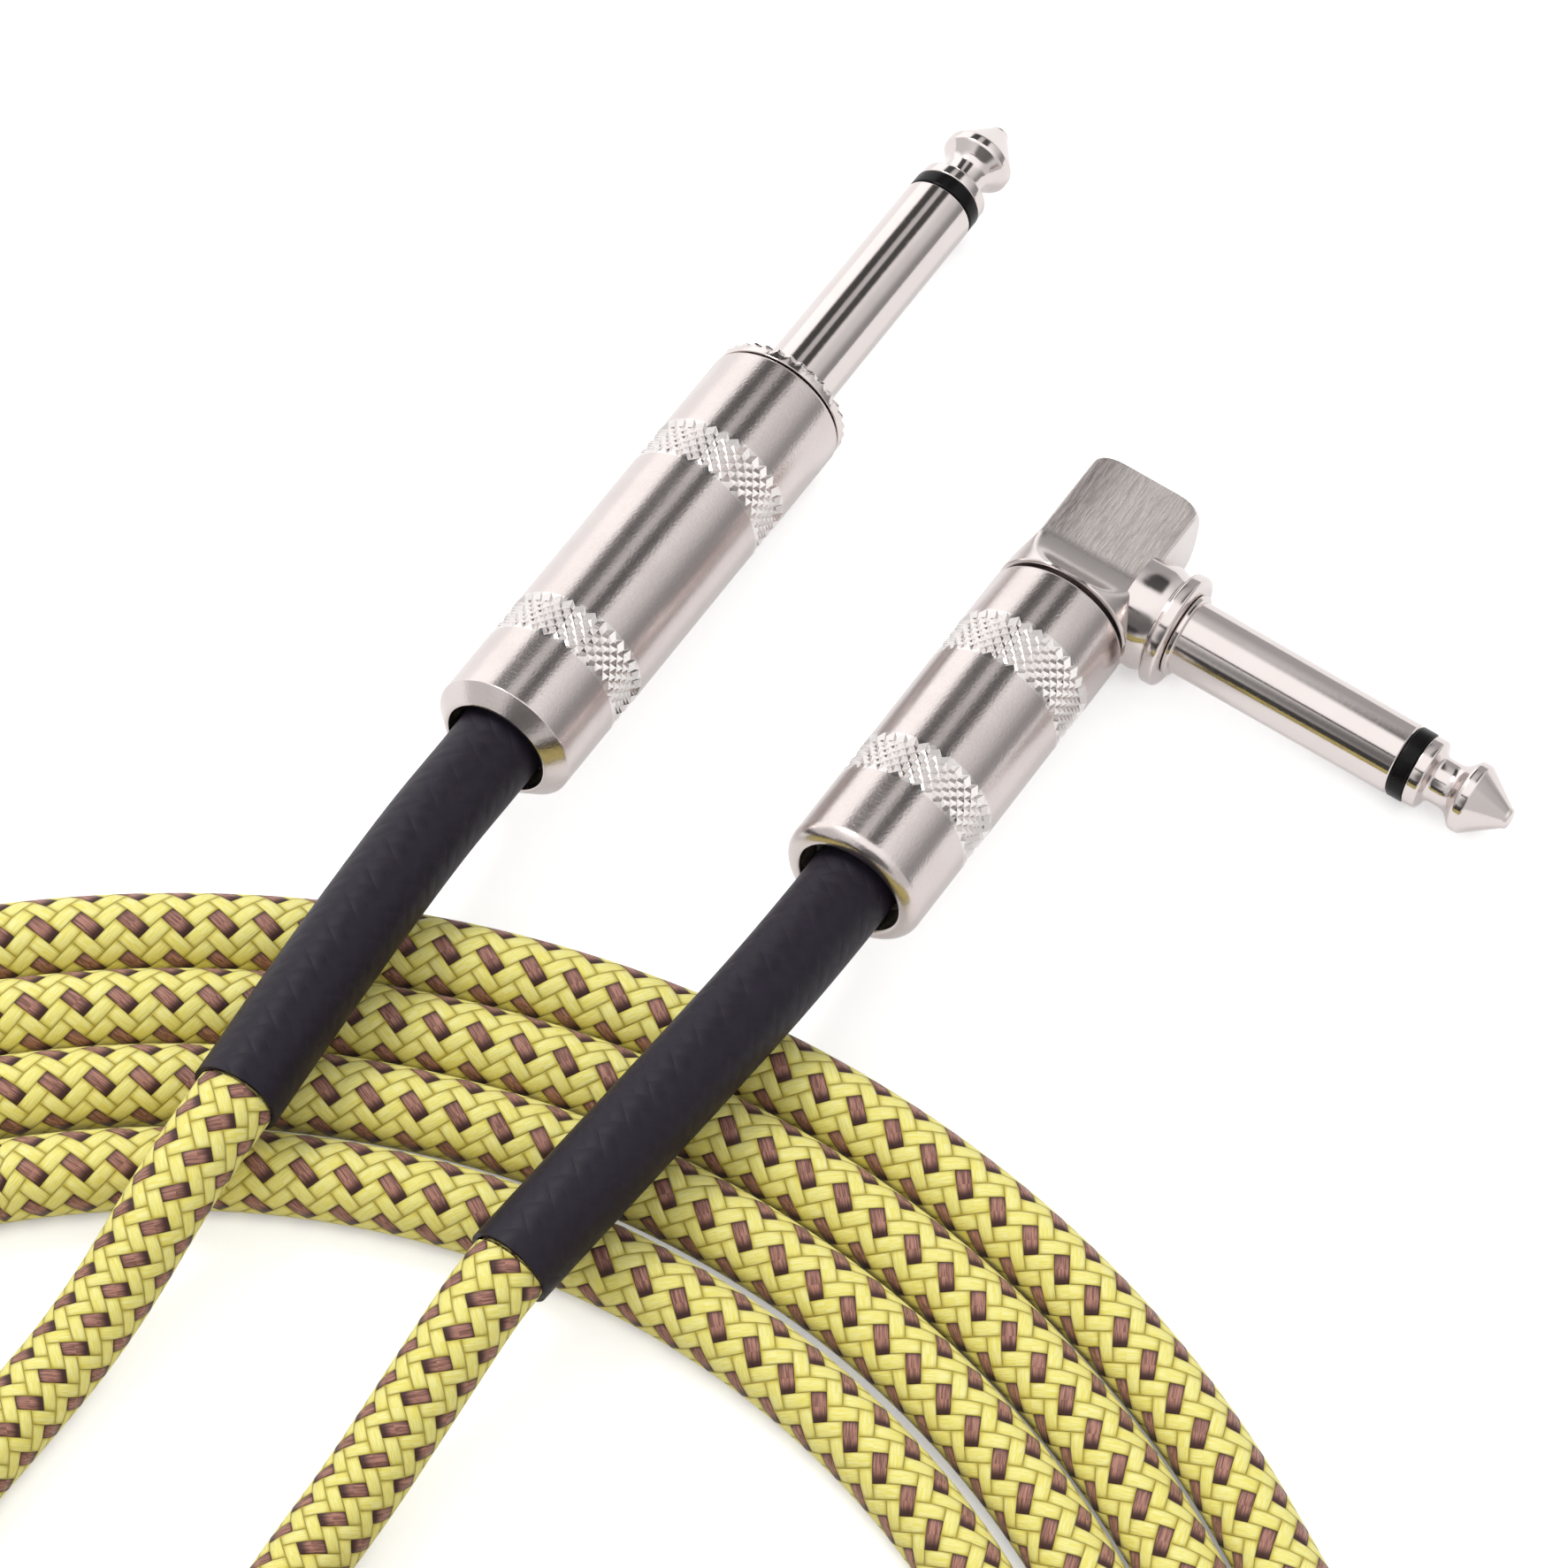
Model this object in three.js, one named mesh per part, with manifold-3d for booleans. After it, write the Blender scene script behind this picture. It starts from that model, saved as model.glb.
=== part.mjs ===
import * as THREE from "three";
import { mergeVertices } from "three/addons/utils/BufferGeometryUtils.js";
import Module from "manifold-3d";

// An instrument cable: a straight plug, a right-angle plug and a braided cord that lies coiled
// between them. Lengths are millimetres, angles are degrees, +Z is up and the floor is z = 0.
// Each plug has its own frame: the barrel's axis is X, pointing forward.

const wasm = await Module();
wasm.setup();

// Clearances
const gap = 0.3; // between pieces that touch
const threadGap = 0.3; // between a screwed body and the bore of its barrel

// The 6.35 mm jack end, the same on both plugs. Lengths run forward from the shoulder.
const shankDiameter = 6.35;
const shankEndDiameter = 6.2;
const shankLength = 20.85;
const ringWidth = 1.4; // the insulating ring between sleeve and tip
const ringDiameter = 6.1;
const tipLength = 8.4;
const tipFlangeDiameter = 6.0;
const tipFlangeLength = 1.1;
const tipNeckDiameter = 3.9;
const tipBallDiameter = 6.1;
const tipBallAt = 5.0; // from the ring to the fullest part of the tip
const tipPointDiameter = 1.6;
const rodDiameter = 2.2; // the tip's centre rod, running back through the sleeve
const insulatorWall = 0.5;

// Barrels and what screws into them
const barrelDiameter = 12.2;
const spigotDiameter = 8.6; // screwed body of a plug, inside the barrel
const barrelWall = 0.8; // behind the thread
const tubeWall = 0.4; // insulating tube lining a barrel
const rearWall = 2.5; // thickness of the barrel's closed-in rear end
const frontRounding = 0.4;

// Straight plug, along X. Its shoulder is the front face of a wide collar.
const straightShoulder = -3.2;
const straightBarrelFront = -4.4;
const straightBarrelLength = 41.6;
const straightOpening = 8.9;
const straightBevel = 1.3;
const straightSpigotLength = 10;
const collarDiameter = 12; // the flange that the barrel is screwed up to
const serrationCount = 32;
const serrationRadius = 0.35;
const serrationLength = 0.5;

// Right-angle plug: the sleeve's axis crosses the barrel's axis at x = 0
const headFront = 9;
const headSeam = -4.77;
const seamWidth = 0.5;
const angledBarrelLength = 31.75;
const angledOpening = 9.1;
const angledRimRounding = 1.3;
const angledSpigotLength = 9;
const flatHeight = 7.5; // across the milled flats, top to bottom
const flatWidth = 9.8; // across the milled flats, side to side
const flatEnd = 0.4; // behind this the flats run out along the cutter's round
const cutterRadius = 6.1;
const headRounding = 1.2;
const bossRoot = 4.2; // from the barrel's axis to where the boss leaves the head
const bossDiameter = 9.2;
const bossFlangeDiameter = 9.8;
const bossFlangeLength = 1.2;
const shoulderOffset = 8.9; // from the barrel's axis to the sleeve's shoulder
const cavityDiameter = 6.6;

// Terminals inside both plugs
const lugThickness = 0.6;
const lugWidth = 2.8;
const lugLength = 8.4;
const washerThickness = 1;
const stripThickness = 0.5;
const stripWidth = 2.4;
const clampLength = 4;
const clampWall = 0.7;
const clampOpening = 100; // open angle at the top of the clamp
const wireDiameter = 1.2;
const clampSetback = 1; // from the cut end of the jacket back to the clamp
const bootSetback = 0.8; // from the clamp back to the boot
const straightJacketSetback = 14; // from the spigot's rear face back to the cut end of the jacket
const angledJacketSetback = 10;

// Cord
const cordDiameter = 6.5;
const jacketDiameter = 6.0; // braid squeezed under the boot
const bootDiameter = 7.36;
const bootBore = 6.6;
const lanePitch = 7;
const layerPitch = 6.95;
const cordSides = 10;
const floorRise = 0.01; // keeps the cord clear of the surface that the plugs stand on

// Layout on the floor. Origin of these places: under the middle of the coil's upper bend.
const layoutCentre = [6.263, 4.655]; // this point becomes the part's origin
const straightPlace = { at: [1.62, 36.27, 5.75], yaw: 57.68, pitch: 4.1, roll: 0 };
const angledPlace = { at: [24.53, 15.68, 6.0], yaw: 57.84, pitch: 3.9, roll: 4.1 };

const floorLane = cordDiameter / 2 + floorRise;
const raisedLane = floorLane + layerPitch;

// The boots' bends beyond the barrels, and the leads down to the floor.
const straightBootRoute = [
  [-28.0, -10.9, 10.25],
  [-32.9, -19.2, 10.65],
  [-38.0, -28.0, 10.7],
  [-42.5, -35.9, 10.6],
];
const angledBootRoute = [
  [-0.9, -24.6, 9.75],
  [-6.6, -32.6, 10.6],
  [-13.6, -41.6, 10.7],
  [-21.1, -50.8, 10.1],
];
const straightLeadRoute = [
  [-44.7, -39.5, 10.3],
  [-47.6, -44.0, 8.8],
  [-51.0, -49.2, 6.1],
  [-55.0, -54.9, 4.1],
  [-60.3, -61.9, 3.3],
  [-66.0, -70.0, 3.26],
  [-70.4, -78.6, 3.26],
  [-73.0, -86.8, 3.26],
  [-74.0, -92.3, 3.26],
];
const angledLeadRoute = [
  [-45.5, -84.1, 3.26],
  [-42.5, -81.9, 3.26],
  [-39.8, -78.5, 3.26],
  [-36.8, -73.4, 3.4],
  [-32.9, -67.8, 4.4],
  [-28.7, -61.7, 6.6],
  [-24.6, -55.7, 8.9],
];

// Big coil: each loop runs down the left side, along the bottom, up the right and over the top.
const coilStart = [-74, -95.3];
const topCentre = [-47.9, -108.9];
const topRadius = 71.1; // innermost loop
const topLeftEdge = -63; // where the round top ends on the left
const laneOffsets = [0, 7.6, 14.6, 21.6]; // of the four loops over the round top
const rightSide = 31;
const rightLean = 25; // of the straight part between the round top and the bend below it
const rightBend = 40;
const bottomLanes = [-145.8, -152.8, -149.3, -159.8];
const bottomHeights = [floorLane, floorLane, raisedLane, floorLane];
const cornerRadius = 26;
const lastLanePitch = 5; // the last pass on the left side climbs and leans on its neighbour

// Inner coil: a long oval that spirals in on top and out again below.
const ovalLeft = -39.2;
const ovalRight = -5;
const ovalMiddle = -112.35;
const ovalRadius = 28.5;
const ovalPitch = 7.15;
const ovalSteps = 24;
const ovalRunOut = 3; // straight end of the oval's last turn
const ovalTurns = 4 - 1 / ovalSteps;

// Colours
const steelLook = { color: 0xc9c4c2, roughness: 0.28, metalness: 1 };
const brushedLook = { color: 0xbdb5b2, roughness: 0.4, metalness: 1 };
const brassLook = { color: 0xb99a5a, roughness: 0.4, metalness: 1 };
const copperLook = { color: 0xb4714a, roughness: 0.4, metalness: 1 };
const insulatorLook = { color: 0x17161a, roughness: 0.5, metalness: 0 };
const linerLook = { color: 0xd9d5c8, roughness: 0.6, metalness: 0 };
const bootLook = { color: 0x2e2a33, roughness: 0.55, metalness: 0 };
const braidLook = { color: 0xd8ce5f, roughness: 0.75, metalness: 0 };
const coreLook = { color: 0xe8e6df, roughness: 0.5, metalness: 0 };

const radians = THREE.MathUtils.degToRad;

function solidOf(geometry) {
  const bare = geometry.clone();
  bare.deleteAttribute("normal");
  bare.deleteAttribute("uv");
  const merged = mergeVertices(bare, 1e-4);
  return new wasm.Manifold(
    new wasm.Mesh({
      numProp: 3,
      vertProperties: merged.attributes.position.array,
      triVerts: new Uint32Array(merged.index.array),
    }),
  );
}

function geometryOf(solid) {
  const mesh = solid.getMesh();
  const geometry = new THREE.BufferGeometry();
  geometry.setAttribute("position", new THREE.BufferAttribute(mesh.vertProperties, 3));
  geometry.setIndex(new THREE.BufferAttribute(mesh.triVerts, 1));
  geometry.computeVertexNormals();
  return geometry;
}

function joined(...geometries) {
  const solids = geometries.map(solidOf);
  return geometryOf(solids.reduce((whole, solid) => whole.add(solid)));
}

function cutBy(geometry, ...tools) {
  return geometryOf(tools.map(solidOf).reduce((rest, tool) => rest.subtract(tool), solidOf(geometry)));
}

// A piece turned about the X axis, from [x, radius] points that run forward along its outside.
function turned(profile, segments = 24) {
  const points = profile.map(([x, radius]) => new THREE.Vector2(radius, x));
  return new THREE.LatheGeometry(points, segments).rotateZ(-Math.PI / 2);
}

// A tube about the X axis between two places, from bore to outside.
function ring(rear, front, bore, outside, segments = 24) {
  return turned(
    [[rear, bore], [rear, outside], [front, outside], [front, bore], [rear, bore]],
    segments,
  );
}

function rod(rear, front, radius, segments = 20) {
  return turned([[rear, 0], [rear, radius], [front, radius], [front, 0]], segments);
}

function block(x0, x1, y0, y1, z0, z1) {
  const box = new THREE.BoxGeometry(x1 - x0, y1 - y0, z1 - z0);
  return box.translate((x0 + x1) / 2, (y0 + y1) / 2, (z0 + z1) / 2);
}

// Points of an arc from [x, radius] centre, for profiles.
function arc(cx, cy, radius, from, to, steps) {
  const points = [];
  for (let i = 0; i <= steps; i++) {
    const angle = radians(from + ((to - from) * i) / steps);
    points.push([cx + radius * Math.cos(angle), cy + radius * Math.sin(angle)]);
  }
  return points;
}

function swept(curve, radius, steps, bore = 0, sides = 12) {
  const section = new THREE.Shape(polygon(radius, sides));
  if (bore) section.holes.push(new THREE.Path(polygon(bore, sides).reverse()));
  return new THREE.ExtrudeGeometry(section, { steps, extrudePath: curve, bevelEnabled: false });
}

function polygon(radius, sides) {
  const points = [];
  for (let i = 0; i < sides; i++) {
    const angle = (2 * Math.PI * (i + 0.5)) / sides;
    points.push(new THREE.Vector2(radius * Math.cos(angle), radius * Math.sin(angle)));
  }
  return points;
}

function smooth(points) {
  return new THREE.CatmullRomCurve3(points, false, "centripetal");
}

// Part of a curve, between two shares of its length.
function stretch(curve, from, to, count) {
  const points = [];
  for (let i = 0; i <= count; i++) points.push(curve.getPointAt(from + ((to - from) * i) / count));
  return smooth(points);
}

function mesh(name, geometry, look) {
  const made = new THREE.Mesh(geometry, new THREE.MeshStandardMaterial(look));
  made.name = name;
  return made;
}

function placed(place) {
  const group = new THREE.Group();
  group.position.set(...place.at);
  group.rotation.set(radians(place.roll), radians(place.pitch), radians(place.yaw), "ZYX");
  group.updateMatrix();
  return group;
}

// --- The jack end: tip with its rod, insulator and shank, in front of a shoulder at x = 0 ---

const shankRadius = shankDiameter / 2;
const rodRadius = rodDiameter / 2;
const insulatorBore = rodRadius + gap;
const insulatorRadius = insulatorBore + insulatorWall;
const shankBore = insulatorRadius + gap;
const ringEnd = shankLength + ringWidth;

function tipGeometry(rodRear) {
  const flange = tipFlangeDiameter / 2;
  const neck = tipNeckDiameter / 2;
  const ball = tipBallDiameter / 2;
  const edge = 0.2;
  const flangeEnd = ringEnd + tipFlangeLength;
  const ballAt = ringEnd + tipBallAt;
  const point = ringEnd + tipLength;
  return turned([
    [rodRear, 0],
    [rodRear, rodRadius],
    [ringEnd, rodRadius],
    [ringEnd, flange - edge],
    [ringEnd + edge, flange],
    [flangeEnd - edge, flange],
    [flangeEnd, flange - edge],
    [flangeEnd + 0.8, neck + 0.1],
    [(flangeEnd + ballAt) / 2 - edge, neck],
    [ballAt - 1.3, neck + 0.45],
    [ballAt - 0.5, ball - 0.12],
    [ballAt, ball],
    [ballAt + 0.45, ball - 0.1],
    [point - 0.45, tipPointDiameter / 2 + 0.2],
    [point, tipPointDiameter / 2 - 0.25],
    [point, 0],
  ]);
}

function insulatorGeometry(rear) {
  return turned([
    [rear, insulatorBore],
    [rear, insulatorRadius],
    [shankLength + gap, insulatorRadius],
    [shankLength + gap, ringDiameter / 2],
    [ringEnd - gap, ringDiameter / 2],
    [ringEnd - gap, insulatorBore],
    [rear, insulatorBore],
  ]);
}

// --- Barrels, their liners and the clamp that holds the cord, behind a spigot's rear face ---

const spigotRadius = spigotDiameter / 2;
const threadBore = spigotRadius + threadGap;
const barrelRadius = barrelDiameter / 2;
const barrelBore = barrelRadius - barrelWall;
const linerRadius = barrelBore - gap;
const linerBore = linerRadius - tubeWall;

// The rear end is turned in over rearWall; its outside is given as [x, radius] points.
function barrelGeometry(front, length, threadLength, opening, rearOutside) {
  const rear = front - length;
  const threadRear = front - threadLength;
  return turned(
    [
      [rear, opening / 2],
      ...rearOutside,
      ...arc(front - frontRounding, barrelRadius - frontRounding, frontRounding, 90, 0, 4),
      [front, threadBore],
      [threadRear, threadBore],
      [threadRear, barrelBore],
      [rear + rearWall, barrelBore],
      [rear + rearWall, opening / 2],
      [rear, opening / 2],
    ],
    32,
  );
}

function linerGeometry(front, length, threadLength) {
  return ring(front - length + rearWall + gap, front - threadLength - gap, linerBore, linerRadius);
}

const clampBore = jacketDiameter / 2 + gap;
const clampOutside = clampBore + clampWall;
const stripInside = clampOutside - stripThickness; // from the axis to the strip's upper face

// A strip under the cord, from the spigot back to arms that close round the jacket.
function clampGeometry(spigotRear, jacketEnd) {
  const front = jacketEnd - clampSetback;
  const section = new THREE.Shape();
  const open = radians(clampOpening / 2);
  section.absarc(0, 0, clampOutside, open, 2 * Math.PI - open, false);
  section.absarc(0, 0, clampBore, 2 * Math.PI - open, open, true);
  const arms = new THREE.ExtrudeGeometry(section, {
    depth: clampLength,
    bevelEnabled: false,
    curveSegments: 14,
  });
  // The section's open side turns up, and its depth runs along X.
  arms.rotateZ(Math.PI / 2).rotateX(Math.PI / 2).rotateZ(Math.PI / 2).translate(front - clampLength, 0, 0);
  const strip = block(
    front - clampLength, spigotRear - gap, -stripWidth / 2, stripWidth / 2, -clampOutside, -stripInside,
  );
  return joined(arms, strip);
}

function pigtailGeometry(spigotRear, jacketEnd) {
  const low = gap + wireDiameter / 2 - stripInside;
  const route = smooth([
    new THREE.Vector3(jacketEnd + gap, 0, low + 1),
    new THREE.Vector3(jacketEnd + 2.5, 0, low + 0.7),
    new THREE.Vector3(jacketEnd + 4.5, 0, low),
    new THREE.Vector3(spigotRear - 3, 0, low),
  ]);
  return swept(route, wireDiameter / 2, 6, 0, 8);
}

// The route of a cord inside its boot: from the cut jacket along the barrel, then as it bends.
function bootCurve(plug, jacketEnd, barrelRear, route) {
  const inside = [jacketEnd, (jacketEnd + barrelRear) / 2, barrelRear, barrelRear - 2.5];
  const straight = inside.map((x) => new THREE.Vector3(x, 0, 0).applyMatrix4(plug.matrix));
  return smooth([...straight, ...route.map((point) => new THREE.Vector3(...point))]);
}

// The boot begins inside the barrel, just behind the clamp.
function addBoot(layout, side, curve) {
  const share = (clampSetback + clampLength + bootSetback) / curve.getLength();
  layout.add(
    mesh(`${side}_boot`, swept(stretch(curve, share, 1, 14), bootDiameter / 2, 14, bootBore / 2), bootLook),
    mesh(`${side}_cord_jacket`, swept(curve, jacketDiameter / 2, 18), braidLook),
  );
}

// --- Straight plug ---

function straightPlug() {
  const plug = placed(straightPlace);
  const spigotRear = -straightSpigotLength;
  const washerRear = spigotRear - gap - washerThickness;
  const rodRear = washerRear;
  const threadLength = straightSpigotLength + straightBarrelFront + 1.5;
  const barrelRear = straightBarrelFront - straightBarrelLength;
  const sleeve = turned([
    [spigotRear, shankBore],
    [spigotRear, spigotRadius],
    [straightBarrelFront + gap, spigotRadius],
    [straightBarrelFront + gap, collarDiameter / 2],
    [straightShoulder, collarDiameter / 2],
    [straightShoulder, shankRadius],
    [shankLength - 0.2, shankEndDiameter / 2],
    [shankLength, shankEndDiameter / 2 - 0.2],
    [shankLength, shankBore],
    [spigotRear, shankBore],
  ]);
  const grooves = [];
  for (let i = 0; i < serrationCount; i++) {
    const groove = rod(straightShoulder - serrationLength, straightShoulder + 1, serrationRadius, 6);
    groove.translate(0, collarDiameter / 2 + 0.1, 0).rotateX((2 * Math.PI * i) / serrationCount);
    grooves.push(groove);
  }
  const lugFront = rodRear - gap;
  const lug = joined(
    block(lugFront - lugThickness, lugFront, -lugWidth / 2, lugWidth / 2, -1.9, 1.5 + lugThickness),
    block(lugFront - lugLength, lugFront, -lugWidth / 2, lugWidth / 2, 1.5, 1.5 + lugThickness),
  );
  const jacketEnd = spigotRear - straightJacketSetback;
  const wireTop = 1.5 + lugThickness + gap + wireDiameter / 2;
  const core = smooth([
    new THREE.Vector3(jacketEnd + gap, 0, 1),
    new THREE.Vector3(jacketEnd + 1.8, 0, 2),
    new THREE.Vector3(jacketEnd + 3.6, 0, wireTop),
    new THREE.Vector3(lugFront - 2.5, 0, wireTop),
  ]);
  plug.add(
    mesh("straight_tip", tipGeometry(rodRear), steelLook),
    mesh("straight_tip_insulator", insulatorGeometry(-7), insulatorLook),
    mesh("straight_sleeve", cutBy(sleeve, ...grooves), steelLook),
    mesh(
      "straight_rear_washer",
      ring(washerRear, spigotRear - gap, insulatorBore, stripInside - gap),
      insulatorLook,
    ),
    mesh("straight_tip_lug", lug, brassLook),
    mesh("straight_clamp_lug", clampGeometry(spigotRear, jacketEnd), brassLook),
    mesh("straight_core_wire", swept(core, wireDiameter / 2, 7, 0, 8), coreLook),
    mesh("straight_shield_pigtail", pigtailGeometry(spigotRear, jacketEnd), copperLook),
    mesh(
      "straight_insulating_tube",
      linerGeometry(straightBarrelFront, straightBarrelLength, threadLength),
      linerLook,
    ),
    mesh(
      "straight_barrel",
      barrelGeometry(
        straightBarrelFront,
        straightBarrelLength,
        threadLength,
        straightOpening,
        [[barrelRear, barrelRadius - straightBevel], [barrelRear + straightBevel, barrelRadius]],
      ),
      brushedLook,
    ),
  );
  const curve = bootCurve(plug, jacketEnd, barrelRear, straightBootRoute);
  return { plug, curve };
}

// --- Right-angle plug ---

// A piece made in front of a shoulder at x = 0, turned to the sleeve's place on the head.
function onHead(geometry) {
  return geometry.translate(shoulderOffset, 0, 0).rotateZ(-Math.PI / 2);
}

// What the milling takes above a flat at this height, with a round run-out behind.
function millCut(height) {
  const beyond = barrelRadius + 1;
  const shape = new THREE.Shape();
  shape.moveTo(headFront + 1, height);
  shape.lineTo(headFront + 1, beyond);
  const start = Math.PI + Math.asin(1 - (beyond - height) / cutterRadius);
  shape.absarc(flatEnd, height + cutterRadius, cutterRadius, start, 1.5 * Math.PI, false);
  const cutter = new THREE.ExtrudeGeometry(shape, {
    depth: 2 * beyond,
    bevelEnabled: false,
    curveSegments: 6,
  });
  return cutter.rotateX(Math.PI / 2).translate(0, beyond, 0);
}

function headGeometry() {
  const rear = headSeam + seamWidth / 2;
  const spigotRear = rear - angledSpigotLength;
  const body = turned(
    [
      [rear, 0],
      [rear, barrelRadius - 0.3],
      [rear + 0.3, barrelRadius],
      ...arc(headFront - headRounding, barrelRadius - headRounding, headRounding, 90, 0, 4),
      [headFront, 0],
    ],
    32,
  );
  const cuts = [
    millCut(flatHeight / 2),
    millCut(flatHeight / 2).rotateX(Math.PI),
    millCut(flatWidth / 2).rotateX(Math.PI / 2),
    millCut(flatWidth / 2).rotateX(-Math.PI / 2),
  ];
  const flangeFrom = -bossFlangeLength;
  const boss = onHead(
    turned([
      [bossRoot - shoulderOffset, 0],
      [bossRoot - shoulderOffset, bossDiameter / 2],
      [flangeFrom - 0.2, bossDiameter / 2],
      [flangeFrom, bossFlangeDiameter / 2],
      [-0.25, bossFlangeDiameter / 2],
      [0, bossFlangeDiameter / 2 - 0.25],
      [0, 0],
    ]),
  );
  const outside = joined(cutBy(body, ...cuts), boss, rod(spigotRear, rear + 1, spigotRadius, 32));
  const cavity = rod(spigotRear - 1, 4.5, cavityDiameter / 2);
  const stemBore = onHead(rod(-shoulderOffset, 1, cavityDiameter / 2));
  return cutBy(outside, cavity, stemBore);
}

function angledPlug() {
  const plug = placed(angledPlace);
  const spigotRear = headSeam + seamWidth / 2 - angledSpigotLength;
  const barrelFront = headSeam - seamWidth / 2;
  const barrelRear = barrelFront - angledBarrelLength;
  const threadLength = barrelFront - spigotRear + 1.5;
  const stemRadius = cavityDiameter / 2 - gap;
  const stemRear = 4 - shoulderOffset;
  const sleeve = onHead(
    turned([
      [stemRear, shankBore],
      [stemRear, stemRadius],
      [gap, stemRadius],
      [gap, shankRadius],
      [shankLength - 0.2, shankEndDiameter / 2],
      [shankLength, shankEndDiameter / 2 - 0.2],
      [shankLength, shankBore],
      [stemRear, shankBore],
    ]),
  );
  const rodRear = 1 - shoulderOffset;
  const washer = onHead(
    ring(stemRear - gap - washerThickness, stemRear - gap, insulatorBore, stemRadius, 24),
  );
  const lugFace = gap - 1; // Y of the lug's side that meets the rod
  const lug = block(
    spigotRear - lugLength / 2, 2, lugFace, lugFace + lugThickness, -lugWidth / 2, lugWidth / 2,
  );
  const jacketEnd = spigotRear - angledJacketSetback;
  const wireSide = lugFace + lugThickness + gap + wireDiameter / 2;
  const core = smooth([
    new THREE.Vector3(jacketEnd + gap, 0.2, 0.6),
    new THREE.Vector3(jacketEnd + 2, wireSide, 0.4),
    new THREE.Vector3(jacketEnd + 4.5, wireSide, 0),
    new THREE.Vector3(spigotRear - 1.5, wireSide, 0),
  ]);
  const rim = arc(barrelRear + angledRimRounding, barrelRadius - angledRimRounding, angledRimRounding, 180, 90, 4);
  plug.add(
    mesh("angled_head", headGeometry(), brushedLook),
    mesh("angled_tip", onHead(tipGeometry(rodRear)), steelLook),
    mesh("angled_tip_insulator", onHead(insulatorGeometry(5 - shoulderOffset)), insulatorLook),
    mesh("angled_sleeve", sleeve, steelLook),
    mesh("angled_rear_washer", washer, insulatorLook),
    mesh("angled_tip_lug", lug, brassLook),
    mesh("angled_clamp_lug", clampGeometry(spigotRear, jacketEnd), brassLook),
    mesh("angled_core_wire", swept(core, wireDiameter / 2, 6, 0, 8), coreLook),
    mesh("angled_shield_pigtail", pigtailGeometry(spigotRear, jacketEnd), copperLook),
    mesh("angled_insulating_tube", linerGeometry(barrelFront, angledBarrelLength, threadLength), linerLook),
    mesh(
      "angled_barrel",
      barrelGeometry(barrelFront, angledBarrelLength, threadLength, angledOpening, rim),
      brushedLook,
    ),
  );
  const curve = bootCurve(plug, jacketEnd, barrelRear, angledBootRoute);
  return { plug, curve };
}

// --- Cord ---

function floorArc(centre, radius, from, to, steps, heightFrom, heightTo) {
  return arc(centre[0], centre[1], radius, from, to, steps).map(([x, y], i) => {
    const share = i / steps;
    const eased = share * share * (3 - 2 * share);
    return new THREE.Vector3(x, y, heightFrom + (heightTo - heightFrom) * eased);
  });
}

// One loop of the big coil: bottom-left corner, bottom-right corner, bend, round top, top-left corner.
function coilLoop(loop, last) {
  const bottom = bottomLanes[loop] + cornerRadius;
  const height = bottomHeights[loop];
  const left = coilStart[0] - lanePitch * loop + cornerRadius;
  const right = rightSide + laneOffsets[loop];
  const radius = topRadius + laneOffsets[loop];
  const high = THREE.MathUtils.radToDeg(Math.acos((topLeftEdge - topCentre[0]) / radius));
  // The bend joins the upright right side to the line that leaves the round top at its low end.
  const lean = radians(rightLean);
  const crossing =
    topCentre[1] + radius * Math.sin(lean) - (right - topCentre[0] - radius * Math.cos(lean)) / Math.tan(lean);
  const bendCentre = [right - rightBend, crossing - rightBend * Math.tan(lean / 2)];
  // The last corner follows the line that leaves the round top at its high end.
  const nextLeft = coilStart[0] - lanePitch * loop - (last ? lastLanePitch : lanePitch);
  const edgeY = topCentre[1] + radius * Math.sin(radians(high));
  const slope = radians(high - 90);
  const run = (topLeftEdge - nextLeft - cornerRadius * (1 - Math.sin(slope))) / Math.cos(slope);
  const cornerCentre = [
    nextLeft + cornerRadius,
    edgeY - run * Math.sin(slope) - cornerRadius * Math.cos(slope),
  ];
  return [
    ...floorArc([left, bottom], cornerRadius, 180, 270, 4, height, height),
    ...floorArc([right - cornerRadius, bottom], cornerRadius, 270, 360, 4, height, height),
    ...floorArc(bendCentre, rightBend, 0, rightLean, 1, height, floorLane),
    ...floorArc(topCentre, radius, rightLean, high, 7, floorLane, floorLane),
    ...floorArc(cornerCentre, cornerRadius, high, 180, 3, floorLane, last ? raisedLane : floorLane),
    ...(last ? [] : [new THREE.Vector3(nextLeft, coilStart[1], floorLane)]),
  ];
}

// The oval's place after so many turns, counted clockwise from the left end of its upper run.
function ovalPoint(turns) {
  const depth = Math.min(turns, ovalTurns - turns);
  const radius = ovalRadius - ovalPitch * depth;
  const climb = THREE.MathUtils.smoothstep(turns, ovalTurns / 2 - 0.25, ovalTurns / 2 + 0.25);
  const height = raisedLane - layerPitch * climb;
  const share = turns - Math.floor(turns);
  const run = ovalRight - ovalLeft;
  if (share < 1 / 6) return new THREE.Vector3(ovalLeft + run * share * 6, ovalMiddle + radius, height);
  if (share >= 1 / 2 && share < 2 / 3) {
    return new THREE.Vector3(ovalRight - run * (share - 1 / 2) * 6, ovalMiddle - radius, height);
  }
  const rightFold = share < 1 / 2;
  const angle = rightFold ? 90 - 540 * (share - 1 / 6) : 270 - 540 * (share - 2 / 3);
  return new THREE.Vector3(
    (rightFold ? ovalRight : ovalLeft) + radius * Math.cos(radians(angle)),
    ovalMiddle + radius * Math.sin(radians(angle)),
    height,
  );
}

const entryY = ovalMiddle + ovalRadius;
const coilEnd = -68.5; // X where the coil's raised end meets the crossing stretch

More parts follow.
